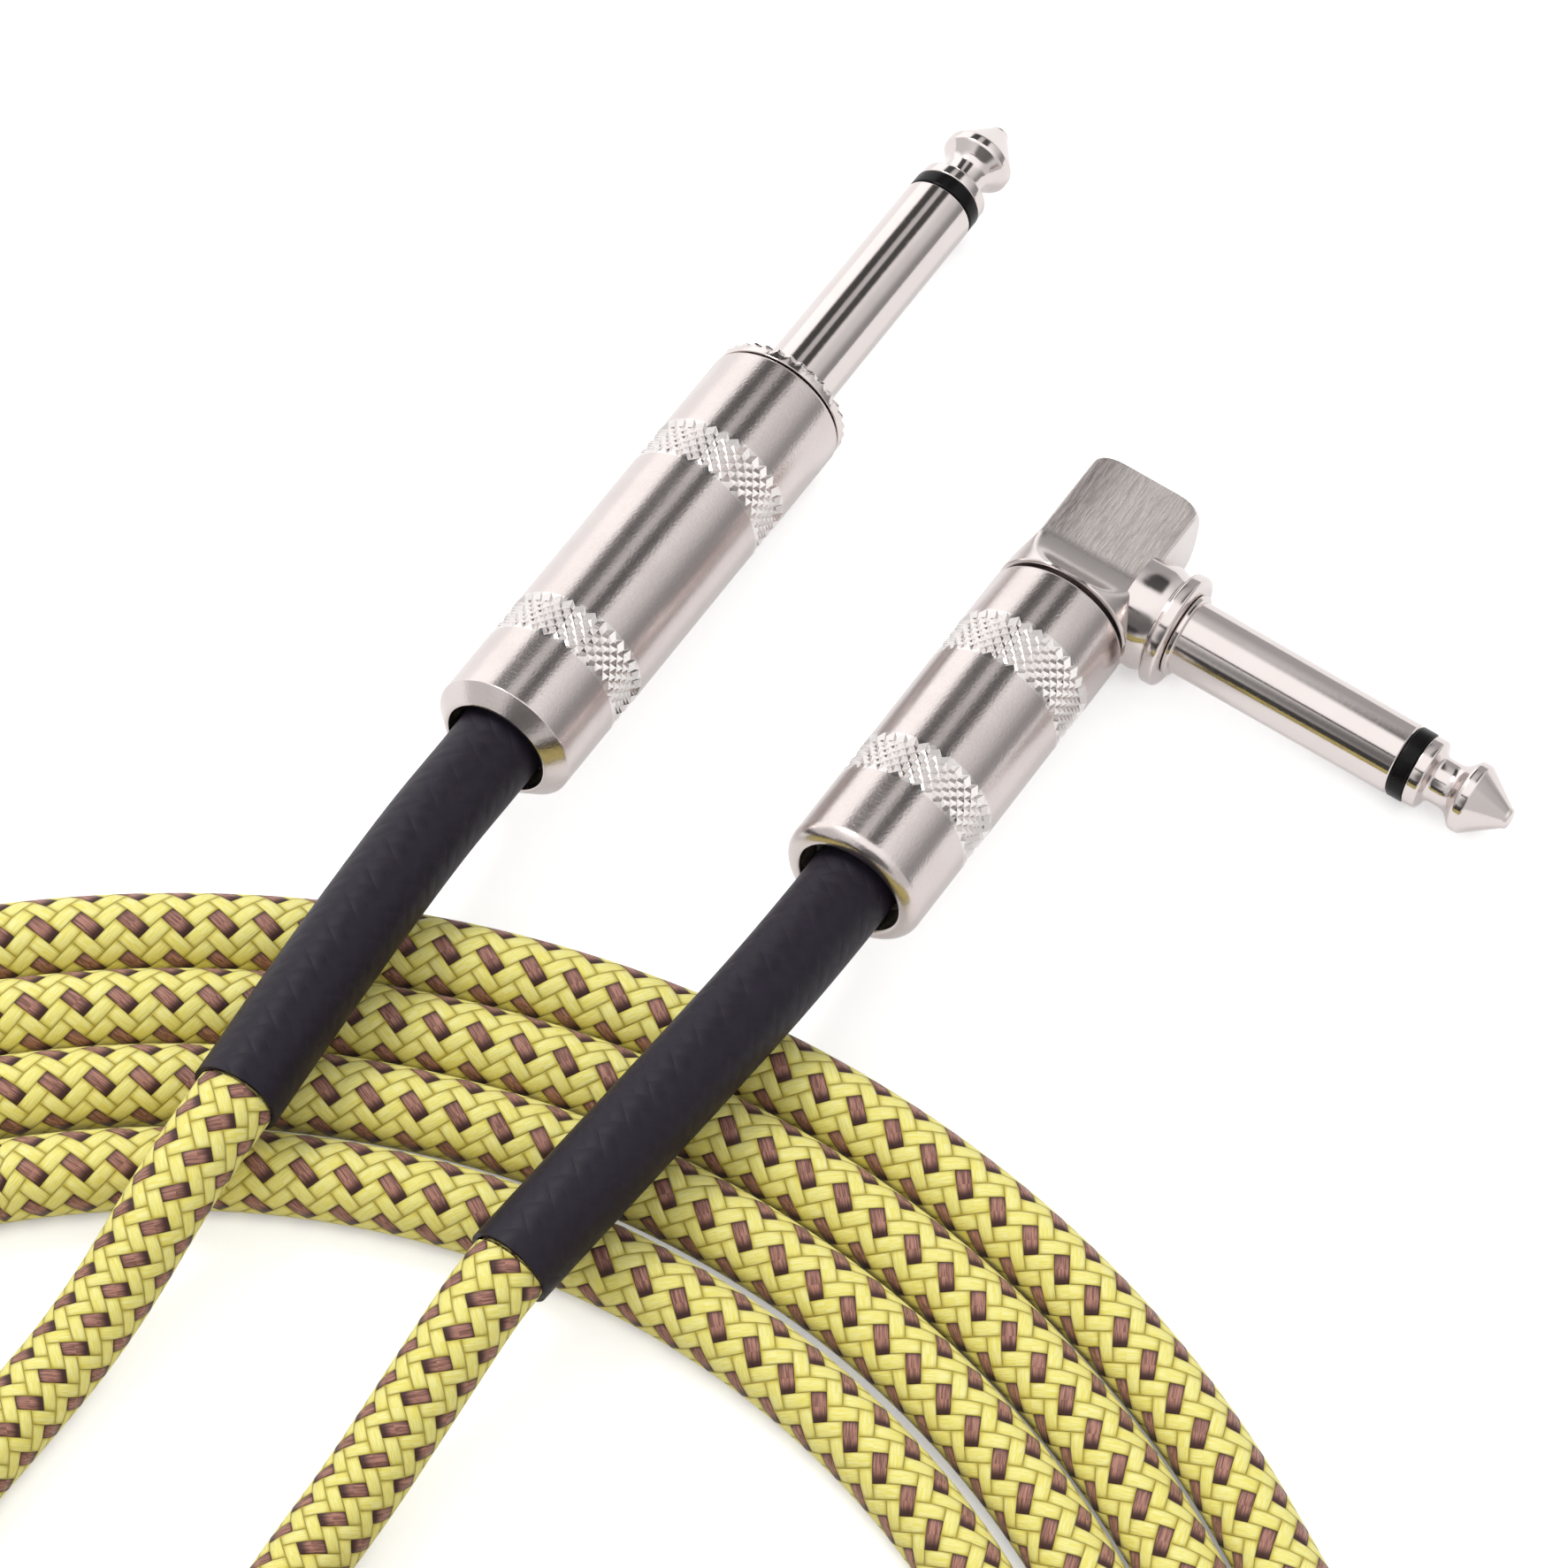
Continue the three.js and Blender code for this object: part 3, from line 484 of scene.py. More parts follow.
def braid_finish():
    finish = Finish("braid", Specular_IOR_Level=0.35, Sheen_Weight=0.15, Sheen_Roughness=0.5)
    rising, falling, stripe, other = braid_stripes(finish)
    rising_on_top, across, along = braid_height(finish, rising, falling, stripe, other)
    crown = (across * (1 - across) * 4) ** 0.35
    float_rise = finish.math("SINE", along * pi) ** 0.4
    filament = finish.joined(across * 7 + stripe * 3.7, along * 0.8 + other * 5.3, rising_on_top * 9)
    streaks = finish.noise(filament, 1.6, 3)
    patch = finish.noise(finish.joined(stripe * 7.1, other * 3.3), 1.0)
    brown = rising_on_top * (stripe % 2)
    # Painted shade: each ribbon darkens towards its edges and its ends, where it rounds off and goes
    # under.
    edge = finish.between(crown * float_rise, 0.15, 0.8)
    # Lighter filament streaks and stitches: partly random tone, partly painted sheen of the silky ribbons.
    light = finish.between(streaks, 0.36, 0.64)
    yellow = finish.mix(light * 0.65 + patch * 0.35, YELLOW, YELLOW_LIGHT)
    yellow = finish.mix(edge, YELLOW_SHADE, yellow)
    # Painted shade: a brown ribbon is darker at one end of each stretch on top, where it dives under its
    # neighbour.
    dive_shade = finish.between(along, 0.1, 0.45)
    browns = finish.mix(edge * dive_shade * (light * 0.65 + 0.35), BROWN_SHADE, BROWN)
    finish.shade(Base_Color=finish.mix(brown, yellow, browns), Roughness=0.72 - light * 0.2)
    relief = crown * float_rise + streaks * 0.22
    finish.shade(Normal=finish.bump(relief, 0.24 * MM))
    return finish


braid = braid_finish()
print("braid material:", len(braid.tree.nodes), "nodes")

# %% [markdown]
# ## Tubes
# A cord or a sleeve is a round section that follows a line. Blender's curve with a bevel makes
# that tube with a UV map, and its least-twist setting keeps the weave from spinning round. The
# tube then becomes a mesh, and its map counts turns across and half stitches along.

# %% A tube along a line
def tube_mesh(name, line, radius, sides, half_stitches, wall=0):
    """A tube with the count of half stitches at each point, and closed ends or else a wall."""
    curve = bpy.data.curves.new(name, "CURVE")
    curve.dimensions = "3D"
    curve.twist_mode = "MINIMUM"
    curve.bevel_depth = radius * MM
    curve.bevel_resolution = sides // 2 - 2
    curve.use_fill_caps = wall == 0
    spline = curve.splines.new("POLY")
    spline.points.add(len(line) - 1)
    for knot, point in zip(spline.points, line):
        knot.co = (*place(point), 1)
    carrier = bpy.data.objects.new(name, curve)
    mesh = bpy.data.meshes.new_from_object(carrier)
    bpy.data.objects.remove(carrier)
    bpy.data.curves.remove(curve)
    share = np.zeros(2 * len(mesh.loops), np.float32)
    mesh.uv_layers[0].data.foreach_get("uv", share)
    share = share.reshape(-1, 2)
    along = np.interp(share[:, 0], np.linspace(0, 1, len(line)), half_stitches)
    unrolled = np.column_stack([share[:, 1], along]).astype(np.float32)
    mesh.uv_layers[0].data.foreach_set("uv", unrolled.ravel())
    tidy_mesh(mesh, wall)
    return mesh


SEAM_GAP, SHARP_ANGLE = 1e-7, 50


def tidy_mesh(mesh, wall):
    """Closes seams, points the faces outwards, and gives an open tube its wall."""
    bm = bmesh.new()
    bm.from_mesh(mesh)
    bmesh.ops.remove_doubles(bm, verts=bm.verts, dist=SEAM_GAP)
    bmesh.ops.recalc_face_normals(bm, faces=bm.faces)
    if wall:
        bmesh.ops.solidify(bm, geom=bm.faces, thickness=wall * MM)
    bm.to_mesh(mesh)
    bm.free()
    mesh.shade_smooth()
    mesh.set_sharp_from_angle(angle=radians(SHARP_ANGLE))


# %% A piece of the cable
def add_piece(name, mesh, finish, body, slot, *nodes):
    """A piece of the cable: its look, the body that carries it, and the solids it stands for."""
    made = bpy.data.objects.new(name, mesh)
    bpy.context.scene.collection.objects.link(made)
    mesh.materials.append(finish.material)
    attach(made, body)
    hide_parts(*nodes)
    print(f"{name}: {len(mesh.polygons)} faces")
    return made


# %% [markdown]
# ## The cord
# The braid is pulled tighter where the cord hangs from the boots and lies slacker in the coil. A
# stitch is one pass of a ribbon over the others and one under them. It is 2.95 mm long on the
# leads and 3.6 mm on the coil, and it eases from one to the other. Two materials would show a
# seam where they meet, so one material is used and the count of stitches goes into the map.

# %% Count half stitches along the cord
LEAD_STITCH, COIL_STITCH = 2.95, 3.6
SLACKENS, TIGHTENS = (95, 140), (75, 45)  # mm from the straight boot, and from the angled one
changes = [*SLACKENS, *[cord_marks[-1] - before_end for before_end in TIGHTENS]]
lead_share = np.interp(cord_marks, changes, [1, 0, 0, 1])
stitch = COIL_STITCH + (LEAD_STITCH - COIL_STITCH) * lead_share
half_stitches = np.r_[0, np.cumsum(2 * np.diff(cord_marks) / stitch[1:])]
print(f"braid: {half_stitches[-1] / 2:.0f} stitches")

# %% Make the cord
CORD_SIDES = 24
cord_mesh = tube_mesh("cord", cord_line, CORD_DIAMETER / 2, CORD_SIDES, half_stitches)
cord = add_piece(
    "cord", cord_mesh, braid, "cable", "braid",
    "cord_straight_lead", "cord_coil", "cord_crossing", "cord_inner_coil", "cord_angled_lead",
)
cord_path = [place(point) for point in cord_line]

# %% The squeezed cord inside the boots
JACKET_DIAMETER, JACKET_SIDES, JACKET_STEP = 6, 20, 1
for side, line in boot_lines.items():
    inner, marks = evenly(line, JACKET_STEP)
    half_stitches = 2 * marks / LEAD_STITCH
    mesh = tube_mesh(f"{side}_jacket", inner, JACKET_DIAMETER / 2, JACKET_SIDES, half_stitches)
    add_piece(f"{side}_jacket", mesh, braid, "cable", "braid", f"{side}_cord_jacket")

# %% [markdown]
# ## The boots
# Each boot is a sleeve of black heat-shrink that grips the cord where it leaves the barrel. It is
# satin, slightly violet, and shows the braid under it as a faint slanting relief. It is a tube
# like the cord, with a real wall, because its cut end shows as a step round the braid. Its bump
# uses the braid's own stripes, so that the relief has the right size and slant.

# %% The boots' finish
BOOT_DARK, BOOT_LIGHT = tint(29, 24, 33), tint(44, 37, 50)


def boot_finish():
    finish = Finish("boot", Specular_IOR_Level=0.2)
    rising, falling, stripe, other = braid_stripes(finish)
    _, across, along = braid_height(finish, rising, falling, stripe, other)
    swell = across * (1 - across) * finish.math("SINE", along * pi)
    spot = finish.spot()
    clouds = finish.noise(spot, 900, 3)
    grain = finish.noise(spot, 9000, 2)
    finish.shade(
        Base_Color=finish.mix(clouds, BOOT_DARK, BOOT_LIGHT),
        Roughness=0.42 + clouds * 0.12,
        Normal=finish.bump(swell * 0.9 + grain * 0.06, 0.18 * MM),
    )
    return finish


boot = boot_finish()
print("boot material:", len(boot.tree.nodes), "nodes")

# %% Make the boots
BOOT_DIAMETER, BOOT_BORE, BOOT_SIDES = 7.36, 6.6, 40
BOOT_START = 5.8  # from the clamp, so that the boot's front end lies inside the barrel
boot_wall = (BOOT_DIAMETER - BOOT_BORE) / 2
for side, line in boot_lines.items():
    inner, marks = evenly(line, BOOT_STEP)
    inner, marks = inner[marks >= BOOT_START], marks[marks >= BOOT_START]
    half_stitches = 2 * marks / LEAD_STITCH
    mesh = tube_mesh(
        f"{side}_sleeve_boot", inner, BOOT_DIAMETER / 2, BOOT_SIDES, half_stitches, boot_wall
    )
    add_piece(f"{side}_shrink_boot", mesh, boot, "cable", "boot", f"{side}_boot")

# %% [markdown]
# ## Turned metal
# Barrels, sleeves and tips come off a lathe, so each is a profile spun about its plug's axis. A
# profile is a list of corners, each a distance along the axis, a radius and a rounding, because
# real edges are never sharp and it is their rounding that catches the light.

# %% Round the corners of a profile
def rounded(corners, steps=5):
    """The profile's points, where a corner with a third number is rounded by that radius."""
    points = []
    for i, corner in enumerate(corners):
        here = Vector(corner[:2])
        if len(corner) < 3:
            points.append(here)
            continue
        before = (Vector(corners[i - 1][:2]) - here).normalized()
        after = (Vector(corners[i + 1][:2]) - here).normalized()
        half = before.angle(after) / 2
        reach = corner[2] / tan(half)
        centre = here + (before + after).normalized() * (corner[2] / sin(half))
        start, end = here + before * reach - centre, here + after * reach - centre
        sweep = start.angle_signed(end)
        points += [centre + Matrix.Rotation(-sweep * k / steps, 2) @ start for k in range(steps + 1)]
    return points


# %% Spin a profile
ALONG_X = Vector((1, 0, 0))
MERGE_GAP = 1e-5


def spin(bm, profile, steps):
    """Turns a profile of (x, radius) points about the X axis into a surface."""
    rim = [bm.verts.new((x, 0, radius)) for x, radius in profile]
    lines = [bm.edges.new(pair) for pair in zip(rim, rim[1:])]
    bmesh.ops.spin(
        bm, geom=rim + lines, cent=(0, 0, 0), axis=ALONG_X, angle=2 * pi, steps=steps, use_merge=True
    )
    bmesh.ops.remove_doubles(bm, verts=bm.verts, dist=MERGE_GAP)


def metal_mesh(name, bm, turn, sharp):
    """The finished mesh of a piece that was made in millimetres in its plug's own frame."""
    bmesh.ops.recalc_face_normals(bm, faces=bm.faces)
    bmesh.ops.transform(bm, matrix=turn, verts=bm.verts)
    for vert in bm.verts:
        vert.co = place(vert.co)
    mesh = bpy.data.meshes.new(name)
    bm.to_mesh(mesh)
    bm.free()
    mesh.shade_smooth()
    mesh.set_sharp_from_angle(angle=radians(sharp))
    return mesh


TURNED_STEPS, TURNED_SHARP = 96, 35


def turned(name, profile, turn):
    """The mesh of a plain turned piece."""
    bm = bmesh.new()
    spin(bm, rounded(profile), TURNED_STEPS)
    return metal_mesh(name, bm, turn, TURNED_SHARP)


# %% [markdown]
# ## Knurled bands
# Two bands on each barrel are knurled so that fingers can grip them: two sets of slanting V
# grooves leave rows of small four-sided pyramids. A bump would give flat sparkle, while real
# pyramids catch light and shade as the barrel curves away. On a spun grid whose rings stand as
# far apart as its columns, every second vertex is a groove crossing and the others are peaks.
# Splitting each face from crossing to crossing makes the pyramids.

# %% Knurl some rings of a barrel
BARREL_RADIUS = 6.1
KNURL_COLUMNS, KNURL_STEP = 72, 0.53
PEAK, CROSSING = 0.03, -0.38
ON_SPOT = 0.01  # how near to a ring a vertex is, to count as on it


def knurled(bm, bands):
    """Raises peaks and sinks crossings on the rings inside the bands, then splits the faces."""
    spots = []
    for start, rings in bands:
        for vert in bm.verts:
            ring = (vert.co.x - start) / KNURL_STEP
            if not (abs(ring - round(ring)) < ON_SPOT and 0 < round(ring) < rings):
                continue
            if abs(Vector(vert.co.yz).length - BARREL_RADIUS) > ON_SPOT:
                continue
            column = round(np.arctan2(vert.co.z, vert.co.y) / (2 * pi) * KNURL_COLUMNS)
            spots.append((vert, (round(ring) + column) % 2))
    touched = {face for vert, _ in spots for face in vert.link_faces}
    for vert, odd in spots:
        grown = 1 + (PEAK if odd else CROSSING) / BARREL_RADIUS
        vert.co.y *= grown
        vert.co.z *= grown
    bmesh.ops.triangulate(bm, faces=list(touched), quad_method="SHORT_EDGE", ngon_method="BEAUTY")
    return len(spots)


# %% A barrel from its two ends
BORE, THREAD_BORE = 5.3, 4.6
REAR_WALL, END_STRETCH = 2.5, 6  # the wall that the cord comes through, and the plain ends
KNURL_SHARP = 22


def barrel_rear(rear, opening, rim, edge, steps):
    """The rear end from the bore outwards: the opening, its rim and the outer edge."""
    corners = [(rear + REAR_WALL, BORE), (rear + REAR_WALL, opening), (rear, opening, rim), *edge]
    return rounded([*corners, (rear + END_STRETCH, BARREL_RADIUS)], steps)[1:-1]


def barrel_front(rear, front, edge_rounding, thread_end):
    """The front end from outside inwards, its thread, and the bore back to the rear wall."""
    return rounded([
        (front - END_STRETCH, BARREL_RADIUS), (front, BARREL_RADIUS, edge_rounding), (front, THREAD_BORE),
        (thread_end, THREAD_BORE), (thread_end, BORE), (rear + REAR_WALL, BORE),
    ])[1:]


def barrel_mesh(name, behind, ahead, bands, turn):
    """A barrel, given its ends and where each knurled band starts and how many rings it has."""
    bm = bmesh.new()
    rings = [(start + i * KNURL_STEP, BARREL_RADIUS) for start, count in bands for i in range(count + 1)]
    spin(bm, [*behind, *rings, *ahead, behind[0]], KNURL_COLUMNS)
    count = knurled(bm, bands)
    print(f"{name}: {count} peaks and crossings")
    return metal_mesh(name, bm, turn, KNURL_SHARP)


# %% The straight plug's barrel, whose rear edge is a cone
CONE_LENGTH, CONE_DROP = 1.3, 1.35
cone = [
    (STRAIGHT_REAR, BARREL_RADIUS - CONE_DROP, 0.12), (STRAIGHT_REAR + CONE_LENGTH, BARREL_RADIUS, 0.18),
]
behind = barrel_rear(STRAIGHT_REAR, opening=4.45, rim=0.12, edge=cone, steps=5)
ahead = barrel_front(STRAIGHT_REAR, front=-4.4, edge_rounding=0.4, thread_end=-9.7)
STRAIGHT_BANDS = ((STRAIGHT_REAR + 7.7, 8), (STRAIGHT_REAR + 28.9, 8))
straight_barrel_mesh = barrel_mesh("straight_barrel", behind, ahead, STRAIGHT_BANDS, STRAIGHT)

# %% The angled plug's barrel, whose rear edge is round
shoulder = [(ANGLED_REAR, BARREL_RADIUS, 1.25)]
behind = barrel_rear(ANGLED_REAR, opening=4.55, rim=0.3, edge=shoulder, steps=8)
ahead = barrel_front(ANGLED_REAR, front=-5.02, edge_rounding=0.3, thread_end=-15.02)
ANGLED_BANDS = ((ANGLED_REAR + 7.5, 8), (ANGLED_REAR + 21.6, 9))
angled_barrel_mesh = barrel_mesh("angled_barrel", behind, ahead, ANGLED_BANDS, ANGLED)

# %% [markdown]
# ## Sleeves and tips
# The 6.35 mm sleeve touches the socket's sleeve contact, and the tip in front of the black ring
# makes the other contact. The tip's neck is what the socket's spring drops into. The straight
# plug's barrel screws up to a wide collar with a scalloped front edge, and behind that is a
# thread that shows when the barrel is unscrewed. A true thread is a helix, but at this size plain
# ridges look the same and are part of the profile. The scallops aren't round about the axis, so
# they are pressed into the edge after the spin.

# %% What both sleeves share, and a thread
SHANK, SHANK_END, SHANK_BORE, SHANK_FRONT = 3.175, 3.1, 2.2, 20.85
SPIGOT, THREAD_PITCH, THREAD_DEPTH = 4.3, 0.8, 0.3
THREAD_ROOT = SPIGOT - THREAD_DEPTH
shank_tip = [
    (SHANK_FRONT - 0.2, SHANK_END, 0.1), (SHANK_FRONT, SHANK_END - 0.2, 0.05), (SHANK_FRONT, SHANK_BORE),
]


def thread(rear, front):
    """Corners of a thread's ridges, from the rear forward."""
    for i in range(int((front - rear) / THREAD_PITCH)):
        at = rear + i * THREAD_PITCH
        yield from ((at, THREAD_ROOT), (at + THREAD_PITCH / 2, SPIGOT))


# %% The straight plug's sleeve, with its collar and thread
STRAIGHT_SPIGOT_REAR = -10
COLLAR_REAR, COLLAR_FRONT, COLLAR_RADIUS = -4.28, -3.2, 6.0
SCALLOPS, SCALLOP_DEPTH, SCALLOP_LENGTH, SCALLOP_RAMP = 32, 0.28, 0.5, 0.3
SCALLOP_COLUMNS = 6
bm = bmesh.new()
spin(bm, rounded([
    (STRAIGHT_SPIGOT_REAR, SHANK_BORE), *thread(STRAIGHT_SPIGOT_REAR, COLLAR_REAR - 0.62),
    (COLLAR_REAR - 0.52, THREAD_ROOT), (COLLAR_REAR, THREAD_ROOT), (COLLAR_REAR, COLLAR_RADIUS, 0.08),
    *[(COLLAR_FRONT - back, COLLAR_RADIUS) for back in (SCALLOP_LENGTH, 0.35, 0.2)],
    (COLLAR_FRONT, COLLAR_RADIUS, 0.1), (COLLAR_FRONT, COLLAR_RADIUS - 0.5), (COLLAR_FRONT, SHANK + 0.5),
    (COLLAR_FRONT + 0.12, SHANK, 0.1), *shank_tip, (STRAIGHT_SPIGOT_REAR, SHANK_BORE),
]), SCALLOP_COLUMNS * SCALLOPS)

# %% Scallop the collar's front edge
for vert in bm.verts:
    radius = Vector(vert.co.yz).length
    forward = vert.co.x - COLLAR_FRONT + SCALLOP_LENGTH
    if 0 < forward < SCALLOP_LENGTH + ON_SPOT and radius > COLLAR_RADIUS - 0.15:
        wave = 0.5 + 0.5 * cos(np.arctan2(vert.co.z, vert.co.y) * SCALLOPS)
        grown = 1 - SCALLOP_DEPTH * ease(forward / SCALLOP_RAMP) * wave / radius
        vert.co.y *= grown
        vert.co.z *= grown
straight_sleeve_mesh = metal_mesh("straight_sleeve", bm, STRAIGHT, sharp=28)
print("scallops on the collar:", SCALLOPS)

# %% The tips: a rod, the rim in front of the ring, the neck, the ball and the point
BOSS_FRONT = 8.9
ON_HEAD = Matrix.Rotation(-pi / 2, 4, "Z") @ Matrix.Translation((BOSS_FRONT, 0, 0))
SIDEWAYS = ANGLED @ ON_HEAD
ROD, NECK, RIM, BALL = 1.1, 1.95, 3, 3.05
RIM_REAR, TIP_POINT = 22.25, 30.65


def tip_profile(rod_rear):
    return [
        (rod_rear, 0), (rod_rear, ROD), (RIM_REAR, ROD), (RIM_REAR, RIM, 0.15), (23.35, RIM, 0.3),
        (23.75, NECK, 0.55), (25.55, NECK, 1.3), (26.55, BALL, 0.5), (27.35, BALL, 0.45),
        (30.3, 0.95, 0.3), (TIP_POINT, 0.8, 0.2), (TIP_POINT, 0),
    ]


straight_tip_mesh = turned("straight_tip", tip_profile(-11.3), STRAIGHT)
angled_tip_mesh = turned("angled_tip", tip_profile(-7.9), SIDEWAYS)
print(f"each tip stands {TIP_POINT - RIM_REAR:.1f} mm in front of its ring")

# %% The rings, whose tubes keep the rods apart from the sleeves
RING_REAR, RING_FRONT = 20.87, 22.22
TUBE_INSIDE, TUBE_OUTSIDE, RING_RADIUS = 1.4, 1.9, 3.08


def ring_profile(rear):
    return [
        (rear, TUBE_INSIDE), (rear, TUBE_OUTSIDE), (RING_REAR, TUBE_OUTSIDE),
        (RING_REAR, RING_RADIUS, 0.12), (RING_FRONT, RING_RADIUS, 0.12), (RING_FRONT, TUBE_INSIDE),
        (rear, TUBE_INSIDE),
    ]


straight_ring_mesh = turned("straight_ring", ring_profile(-7), STRAIGHT)
angled_ring_mesh = turned("angled_ring", ring_profile(-3.9), SIDEWAYS)

# %% The angled plug's sleeve, which stands in its head
STEM_END, STEM_RADIUS, FOOT = -4.9, 3, 0.04
angled_sleeve_mesh = turned("angled_sleeve", [
    (STEM_END, SHANK_BORE), (STEM_END, STEM_RADIUS), (FOOT, STEM_RADIUS),
    (FOOT, SHANK + 0.45, 0.15), (0.5, SHANK + 0.4, 0.1), (0.6, SHANK), *shank_tip, (STEM_END, SHANK_BORE),
], SIDEWAYS)

# %% [markdown]
# ## The angled plug's head
# The head starts as a round bar with a rounded end. A mill then takes four flats off it, and the
# round cutter leaves a curved run-out at the rear of each. Drawing every point of the spun bar in
# to the nearest flat does the same work, and a soft choice of the nearest rounds the edges.

# %% Turn the bar, with the thread that the barrel screws on to
HEAD_REAR, HEAD_FRONT, END_ROUNDING = -4.52, 9, 1.3
BAR_STEP, BAR_SIDES = 0.2, 160
bar_rear = HEAD_REAR - 9
bar_end = [(HEAD_FRONT - 2, BARREL_RADIUS), (HEAD_FRONT, BARREL_RADIUS, END_ROUNDING), (HEAD_FRONT, 0)]
bm = bmesh.new()
spin(bm, [
    (bar_rear, 0), (bar_rear, SPIGOT - 0.4), *thread(bar_rear + 0.2, HEAD_REAR - 0.9),
    (HEAD_REAR - 0.5, THREAD_ROOT), (HEAD_REAR, THREAD_ROOT),
    (HEAD_REAR, BARREL_RADIUS - 0.25), (HEAD_REAR + 0.1, BARREL_RADIUS - 0.06),
    *[(x, BARREL_RADIUS) for x in np.arange(HEAD_REAR + 0.22, HEAD_FRONT - END_ROUNDING, BAR_STEP)],
    *rounded(bar_end, 8)[1:-1], *[(HEAD_FRONT, radius) for radius in (4, 3, 1.5, 0)],
], BAR_SIDES)
print("bar:", len(bm.verts), "points")

# %% Mill the flats
FLAT_HEIGHT, FLAT_WIDTH = 3.75, 4.9
FLAT_END, CUTTER_RADIUS = 0.4, 6.1
EDGE_SHARPNESS = 40
TINY = 1e-6


def flat_reach(x, depth):
    """How far a flat lies from the axis at x, with the cutter's round run-out at the rear."""
    back = min(max(FLAT_END - x, 0), CUTTER_RADIUS)
    return depth + CUTTER_RADIUS - (CUTTER_RADIUS**2 - back**2) ** 0.5


for vert in bm.verts:
    x, y, z = vert.co
    radius = Vector((y, z)).length
    if x < HEAD_REAR + 0.05 or radius < TINY:
        continue
    to_top = flat_reach(x, FLAT_HEIGHT) * radius / max(abs(z), TINY)
    to_side = flat_reach(x, FLAT_WIDTH) * radius / max(abs(y), TINY)
    reaches = np.array([radius, to_top, to_side])
    grown = float((reaches**-EDGE_SHARPNESS).sum() ** (-1 / EDGE_SHARPNESS)) / radius
    vert.co.y, vert.co.z = y * grown, z * grown
head_mesh = metal_mesh("head", bm, ANGLED, sharp=24)
print("head:", len(head_mesh.polygons), "faces")

# %% The boss that the sleeve stands on, with its groove and flange
BOSS_REAR, BOSS, GROOVE, FLANGE = -4.7, 4.55, 4.2, 4.9
boss_mesh = turned("boss", [
    (BOSS_REAR, 0), (BOSS_REAR, BOSS), (-2.5, BOSS), (-1.6, GROOVE, 0.2), (-1.45, GROOVE, 0.1),
    (-1.2, FLANGE, 0.25), (-0.12, FLANGE, 0.3), (0, 4.3, 0.1), (0, 0),
], SIDEWAYS)

# %% [markdown]
# ## Nickel
# All outside metal is nickel plate, slightly warm. It is satin on the barrels, polished on the
# sleeves, the tips and the boss, and the flats of the head keep the fine lines of the grinding
# belt. Roughness carries most of each look, and a very shallow bump gives it some grain. The
# colours are those of the metal itself, because its light and dark come from the room, except
# for a painted shade on the head's upper flat, which is darker towards its left edge.

# %% Coordinates that run along a plug's barrel
def own_axes(finish, turn):
    """Object coordinates brought back to a plug's own axes, so that X runs along its barrel."""
    back = turn.to_3x3().transposed().to_euler("XYZ")
    from_plug = {0: finish.spot(), 1: place(turn.translation)}
    moved = finish.node("ShaderNodeVectorMath", {"operation": "SUBTRACT"}, from_plug)
    return finish.node("ShaderNodeMapping", {"vector_type": "POINT"}, {"Vector": moved, "Rotation": back})


# %% Satin nickel for the barrels
NICKEL, NICKEL_WORN, NICKEL_BRIGHT = tint(222, 214, 212), tint(200, 188, 185), tint(226, 221, 219)


def satin_finish(name, turn, bands):
    """Satin nickel that is brighter and sharper where the knurl has just been rolled into it."""
    finish = Finish(name, Metallic=1.0)
    axes = own_axes(finish, turn)
    along, left, up = finish.split(axes)
    marks = finish.noise(finish.joined(along * 9000, left * 500, up * 500), 1.0, 3)
    clouds = finish.noise(axes, 260, 3)
    specks = finish.noise(axes, 4200, 2)
    knurl = 0
    for start, rings in bands:
        half = rings * KNURL_STEP / 2
        knurl = knurl + (finish.math("ABSOLUTE", along - (start + half) * MM) < half * MM)
    plain = finish.mix(clouds * 0.6 + specks * 0.4, NICKEL, NICKEL_WORN)
    finish.shade(
        Base_Color=finish.mix(knurl, plain, NICKEL_BRIGHT),
        Roughness=0.15 + clouds * 0.06 + marks * 0.06 - knurl * 0.05,
        Normal=finish.bump(marks * 0.5 + specks, 0.01 * MM),
    )
    return finish


satin_straight = satin_finish("satin_nickel_straight", STRAIGHT, STRAIGHT_BANDS)
satin_angled = satin_finish("satin_nickel_angled", ANGLED, ANGLED_BANDS)
print("satin material:", len(satin_straight.tree.nodes), "nodes")

# %% Polished nickel for the sleeves, the tips and the boss
NICKEL_SOFT = tint(214, 204, 201)


def polished_finish(name):
    finish = Finish(name, Metallic=1.0)
    spot = finish.spot()
    clouds = finish.noise(spot, 300, 3)
    specks = finish.noise(spot, 2500, 2)
    finish.shade(
        Base_Color=finish.mix(clouds, NICKEL, NICKEL_SOFT),
        Roughness=0.09 + clouds * 0.05 + finish.between(specks, 0.55, 0.75) * 0.05,
        Normal=finish.bump(specks, 0.002 * MM),
    )
    return finish


polished = polished_finish("polished_nickel")

# %% Ground nickel for the head, whose upper flat is scratched and has a painted shade towards one edge
GROUND_DARK, GROUND_SHADE = tint(164, 155, 150), tint(104, 96, 94)


